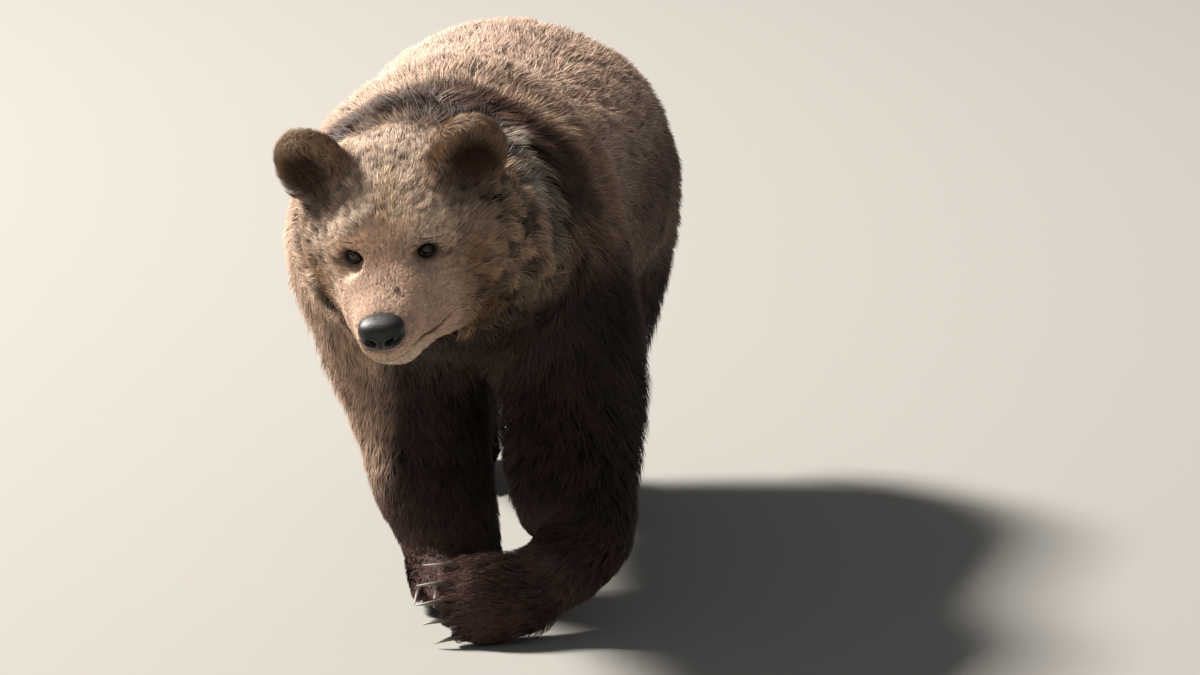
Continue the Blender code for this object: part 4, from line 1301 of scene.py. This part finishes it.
# %% Grow
def grow(roots):
    """Points [tuft, 5] and colours of ribbons grown from the roots."""
    value, slope = height(roots)
    up, depth = unit(slope), np.maximum(-value, 0.0015)
    luck = rng.random((len(roots), 6))
    long_coat = smooth(0.014, 0.034, depth)
    curly = smooth(-0.20, -0.26, roots[:, 1]) * smooth(0.46, 0.56, roots[:, 2]) * long_coat
    ears, toes = standing(roots)
    q = in_face(roots)
    wavy = smooth(-0.20, -0.05, q[:, 1]) * smooth(0.16, 0.09, q[:, 1]) * (1 - ears)
    centre, shared, wide = locks_by_depth(roots, depth, curly)

    # Way, length and height of the tip: each differs a little by place, by lock and by its own luck
    turn = 0.28 * waves(roots, 0.16)
    turn = turn + (0.35 + 0.35 * long_coat) * (shared[:, 0] - 0.5)
    turn = turn + (0.40 + 0.45 * ears) * (luck[:, 0] - 0.5)
    way = unit(flattened(lie(roots), up))
    way = way * np.cos(turn)[:, None] + np.cross(up, way) * np.sin(turn)[:, None]
    length = depth * (1.9 - 0.35 * long_coat) * (0.75 + 0.35 * luck[:, 1])
    length = length * (1 + 0.10 * ears) * (1 + 1.4 * toes) * (1 - 0.15 * curly)
    relief = 0.14 * wavy + 0.16 * curly
    reach = 0.80 + (0.22 + relief) * (shared[:, 1] - 2 * relief) + 0.10 * (wide[:, 1] - 0.5)
    reach = reach - 0.22 * luck[:, 2] ** 2 + 0.40 * ears

    # The tuft, drawn to the middle of its lock and curling to one side with it
    pull = flattened(centre - roots, up)
    sway = (shared[:, 2] - 0.5) * (0.25 + 0.30 * curly) * depth * long_coat
    curl = np.cross(up, way) * sway[:, None]
    spine = spines(roots - up * 0.0012, way, length, depth, reach, pull, curl, toes)
    width = np.clip(0.0004 + 0.036 * depth, 0.0006, 0.0018) * (0.7 + 0.6 * luck[:, 3])
    made = ribbons(spine, width * (1 - 0.3 * ears), luck[:, 4])

    # Its shade: locks differ most where the coat curls or waves
    shade = 1 + (0.16 + 0.10 * long_coat + 0.85 * curly + 0.45 * wavy) * (shared[:, 2] - 0.5)
    shade = shade + (0.20 + 0.15 * wavy) * (wide[:, 2] - 0.5) + 0.55 * (luck[:, 5] - 0.5)
    shade = shade * (1 + 0.10 * waves(roots, 0.09))
    root, tip = coat_colours(roots)[0], coat_colours(spine[:, -1])[1]
    return made, tuft_colours(root, tip, shade, depth, luck)


# %% [markdown]
# ## The coat in pieces
# The coat is made in ten pieces of at most 65,500 tufts, so that each can be baked on its own. Baking
# needs a flat map of each piece. Unwrapping half a million ribbons one by one would leave no room
# between them, so the skin round a piece's middle line is unrolled instead, and each tuft is a small
# patch at the place of its root.


# %% Unrolling
def unrolled(roots, origin, axis):
    """Angle round a line and place along it, both brought to between 0 and 1."""
    axis = unit(axis)
    first = unit(np.cross(axis, [0.31, 0.2, 0.93]))  # any direction that isn't an axis will do
    second = np.cross(axis, first)
    v = roots - np.array(origin)
    angle = np.arctan2(v @ second, v @ first) / (2 * math.pi) + 0.5
    along = v @ axis
    return np.stack([angle, (along - along.min()) / max(np.ptp(along), 1e-6)], 1)


# %% One piece
FACES = np.array([[0, 1, 3], [0, 3, 2], [2, 3, 4]])  # the three triangles of a ribbon
PATCH = np.array([[0, 0], [1, 0], [0, 0.6], [1, 0.6], [0.5, 1]]) - 0.5  # its five points on the map
PATCH_SIZE = 0.003  # where the side of the map is 1
# Guard hair dulled by dust: each wisp has a soft sheen along it, and the coat as a whole looks dry.
hair = surface("bear_hair", attribute="coat", roughness=0.58, specular=0.25)


def coat_piece(name, roots, charts):
    """One mesh of tufts. A chart is (which roots, origin, axis) and fills one column of its map."""
    made, tone = grow(roots)
    n = len(roots)
    mesh = bpy.data.meshes.new(name)
    mesh.vertices.add(n * 5)
    mesh.vertices.foreach_set("co", (made + MOVED).astype(np.float32).ravel())
    faces = (FACES[None] + 5 * np.arange(n)[:, None, None]).reshape(-1)
    mesh.loops.add(len(faces))
    mesh.loops.foreach_set("vertex_index", faces.astype(np.int32))
    mesh.polygons.add(len(faces) // 3)
    mesh.polygons.foreach_set("loop_start", np.arange(0, len(faces), 3, dtype=np.int32))
    mesh.polygons.foreach_set("use_smooth", np.ones(len(faces) // 3, bool))
    mesh.update(calc_edges=True)
    give_colours(mesh, "coat", tone.reshape(-1, 3))
    place = np.zeros((n, 2))
    for k, (some, origin, axis) in enumerate(charts):
        if some.any():
            flat = unrolled(roots[some], origin, axis)
            place[some] = (0.03 + 0.94 * flat + (k, 0)) / (len(charts), 1)
    corners = place[:, None] + PATCH_SIZE * PATCH[None]
    spread = mesh.uv_layers.new(name="OFBake")
    spread.uv.foreach_set("vector", corners.reshape(-1, 2)[faces].astype(np.float32).ravel())
    mesh.materials.append(hair)
    obj = bpy.data.objects.new(name, mesh)
    bpy.context.scene.collection.objects.link(obj)
    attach(obj, "root")
    print(name, n, "tufts,", len(faces) // 3, "triangles")


# %% Divide the roots
LARGEST_PIECE = 65500  # tufts
q = in_face(roots)
x, y, z = roots.T
everywhere = np.ones(len(roots), bool)
ears = np.zeros(len(roots), bool)
for s in (-1, 1):
    ears |= np.linalg.norm(in_ear(q, s) / (0.070, 0.050, 0.078), axis=1) < 1.0
ears &= q[:, 1] < 0.06
head = (q[:, 1] > -0.07) & ~ears
# Each root goes to the first piece whose rule holds for it. Pieces meet where the coat changes.
pieces = {
    "coat_muzzle": (head & (q[:, 1] > 0.150), "coat_fawn"),
    "coat_face": (head & (q[:, 1] > 0.075), "coat_fawn"),
    "coat_crown_and_ears": (ears | head, "coat_fawn"),
    "coat_legs_right": ((z < 0.36) & (x < 0.045), "coat_dark"),
    "coat_legs_left": (z < 0.36, "coat_dark"),
    "coat_neck": (y < -0.17, "coat_brown"),
    "coat_shoulders": (y < 0.04, "coat_brown"),
    "coat_back": (y < 0.45, "coat_fawn"),
    "coat_rump": (z > 0.60, "coat_fawn"),
    "coat_haunches": (everywhere, "coat_brown"),
}
print(int(ears.sum()), "of the roots are on the ears and", int(head.sum()), "on the rest of the head")


# %% Middle lines
def charts_of(name, r, on_ear):
    """The lines round which a piece's skin is unrolled, each with the roots that it holds."""
    whole = np.ones(len(r), bool)
    if "legs" in name:
        back = r[:, 1] > 0.35
        fore_line = (r[~back, 0].mean(), -0.05, 0)
        return [(~back, fore_line, (0, 0, 1)), (back, (r[back, 0].mean(), 0.70, 0), (0, 0, 1))]
    if name == "coat_crown_and_ears":
        left_side = r[:, 0] > HEAD_AT[0]
        charts = [(~on_ear, HEAD_AT, head_axes()[1])]
        for s, here in ((-1, on_ear & ~left_side), (1, on_ear & left_side)):
            middle = out_of_head(np.array(EAR_AT) * (s, 1, 1))
            charts.append((here, middle, ear_axes(s)[2] @ head_axes()))
        return charts
    if name in ("coat_muzzle", "coat_face"):
        return [(whole, out_of_head((0, 0.1, -0.04)), head_axes()[1])]
    return [(whole, (0.0, 0.0, 0.64), (0, 1, 0))]


# %% Make the coat
left = everywhere.copy()
for name, (wanted, slot_name) in pieces.items():
    mine = np.flatnonzero(left & wanted)
    left[mine] = False
    if len(mine) > LARGEST_PIECE:
        print("   ", name, "had", len(mine))
        mine = rng.permutation(mine)[:LARGEST_PIECE]
    coat_piece(name, roots[mine], charts_of(name, roots[mine], ears[mine]))
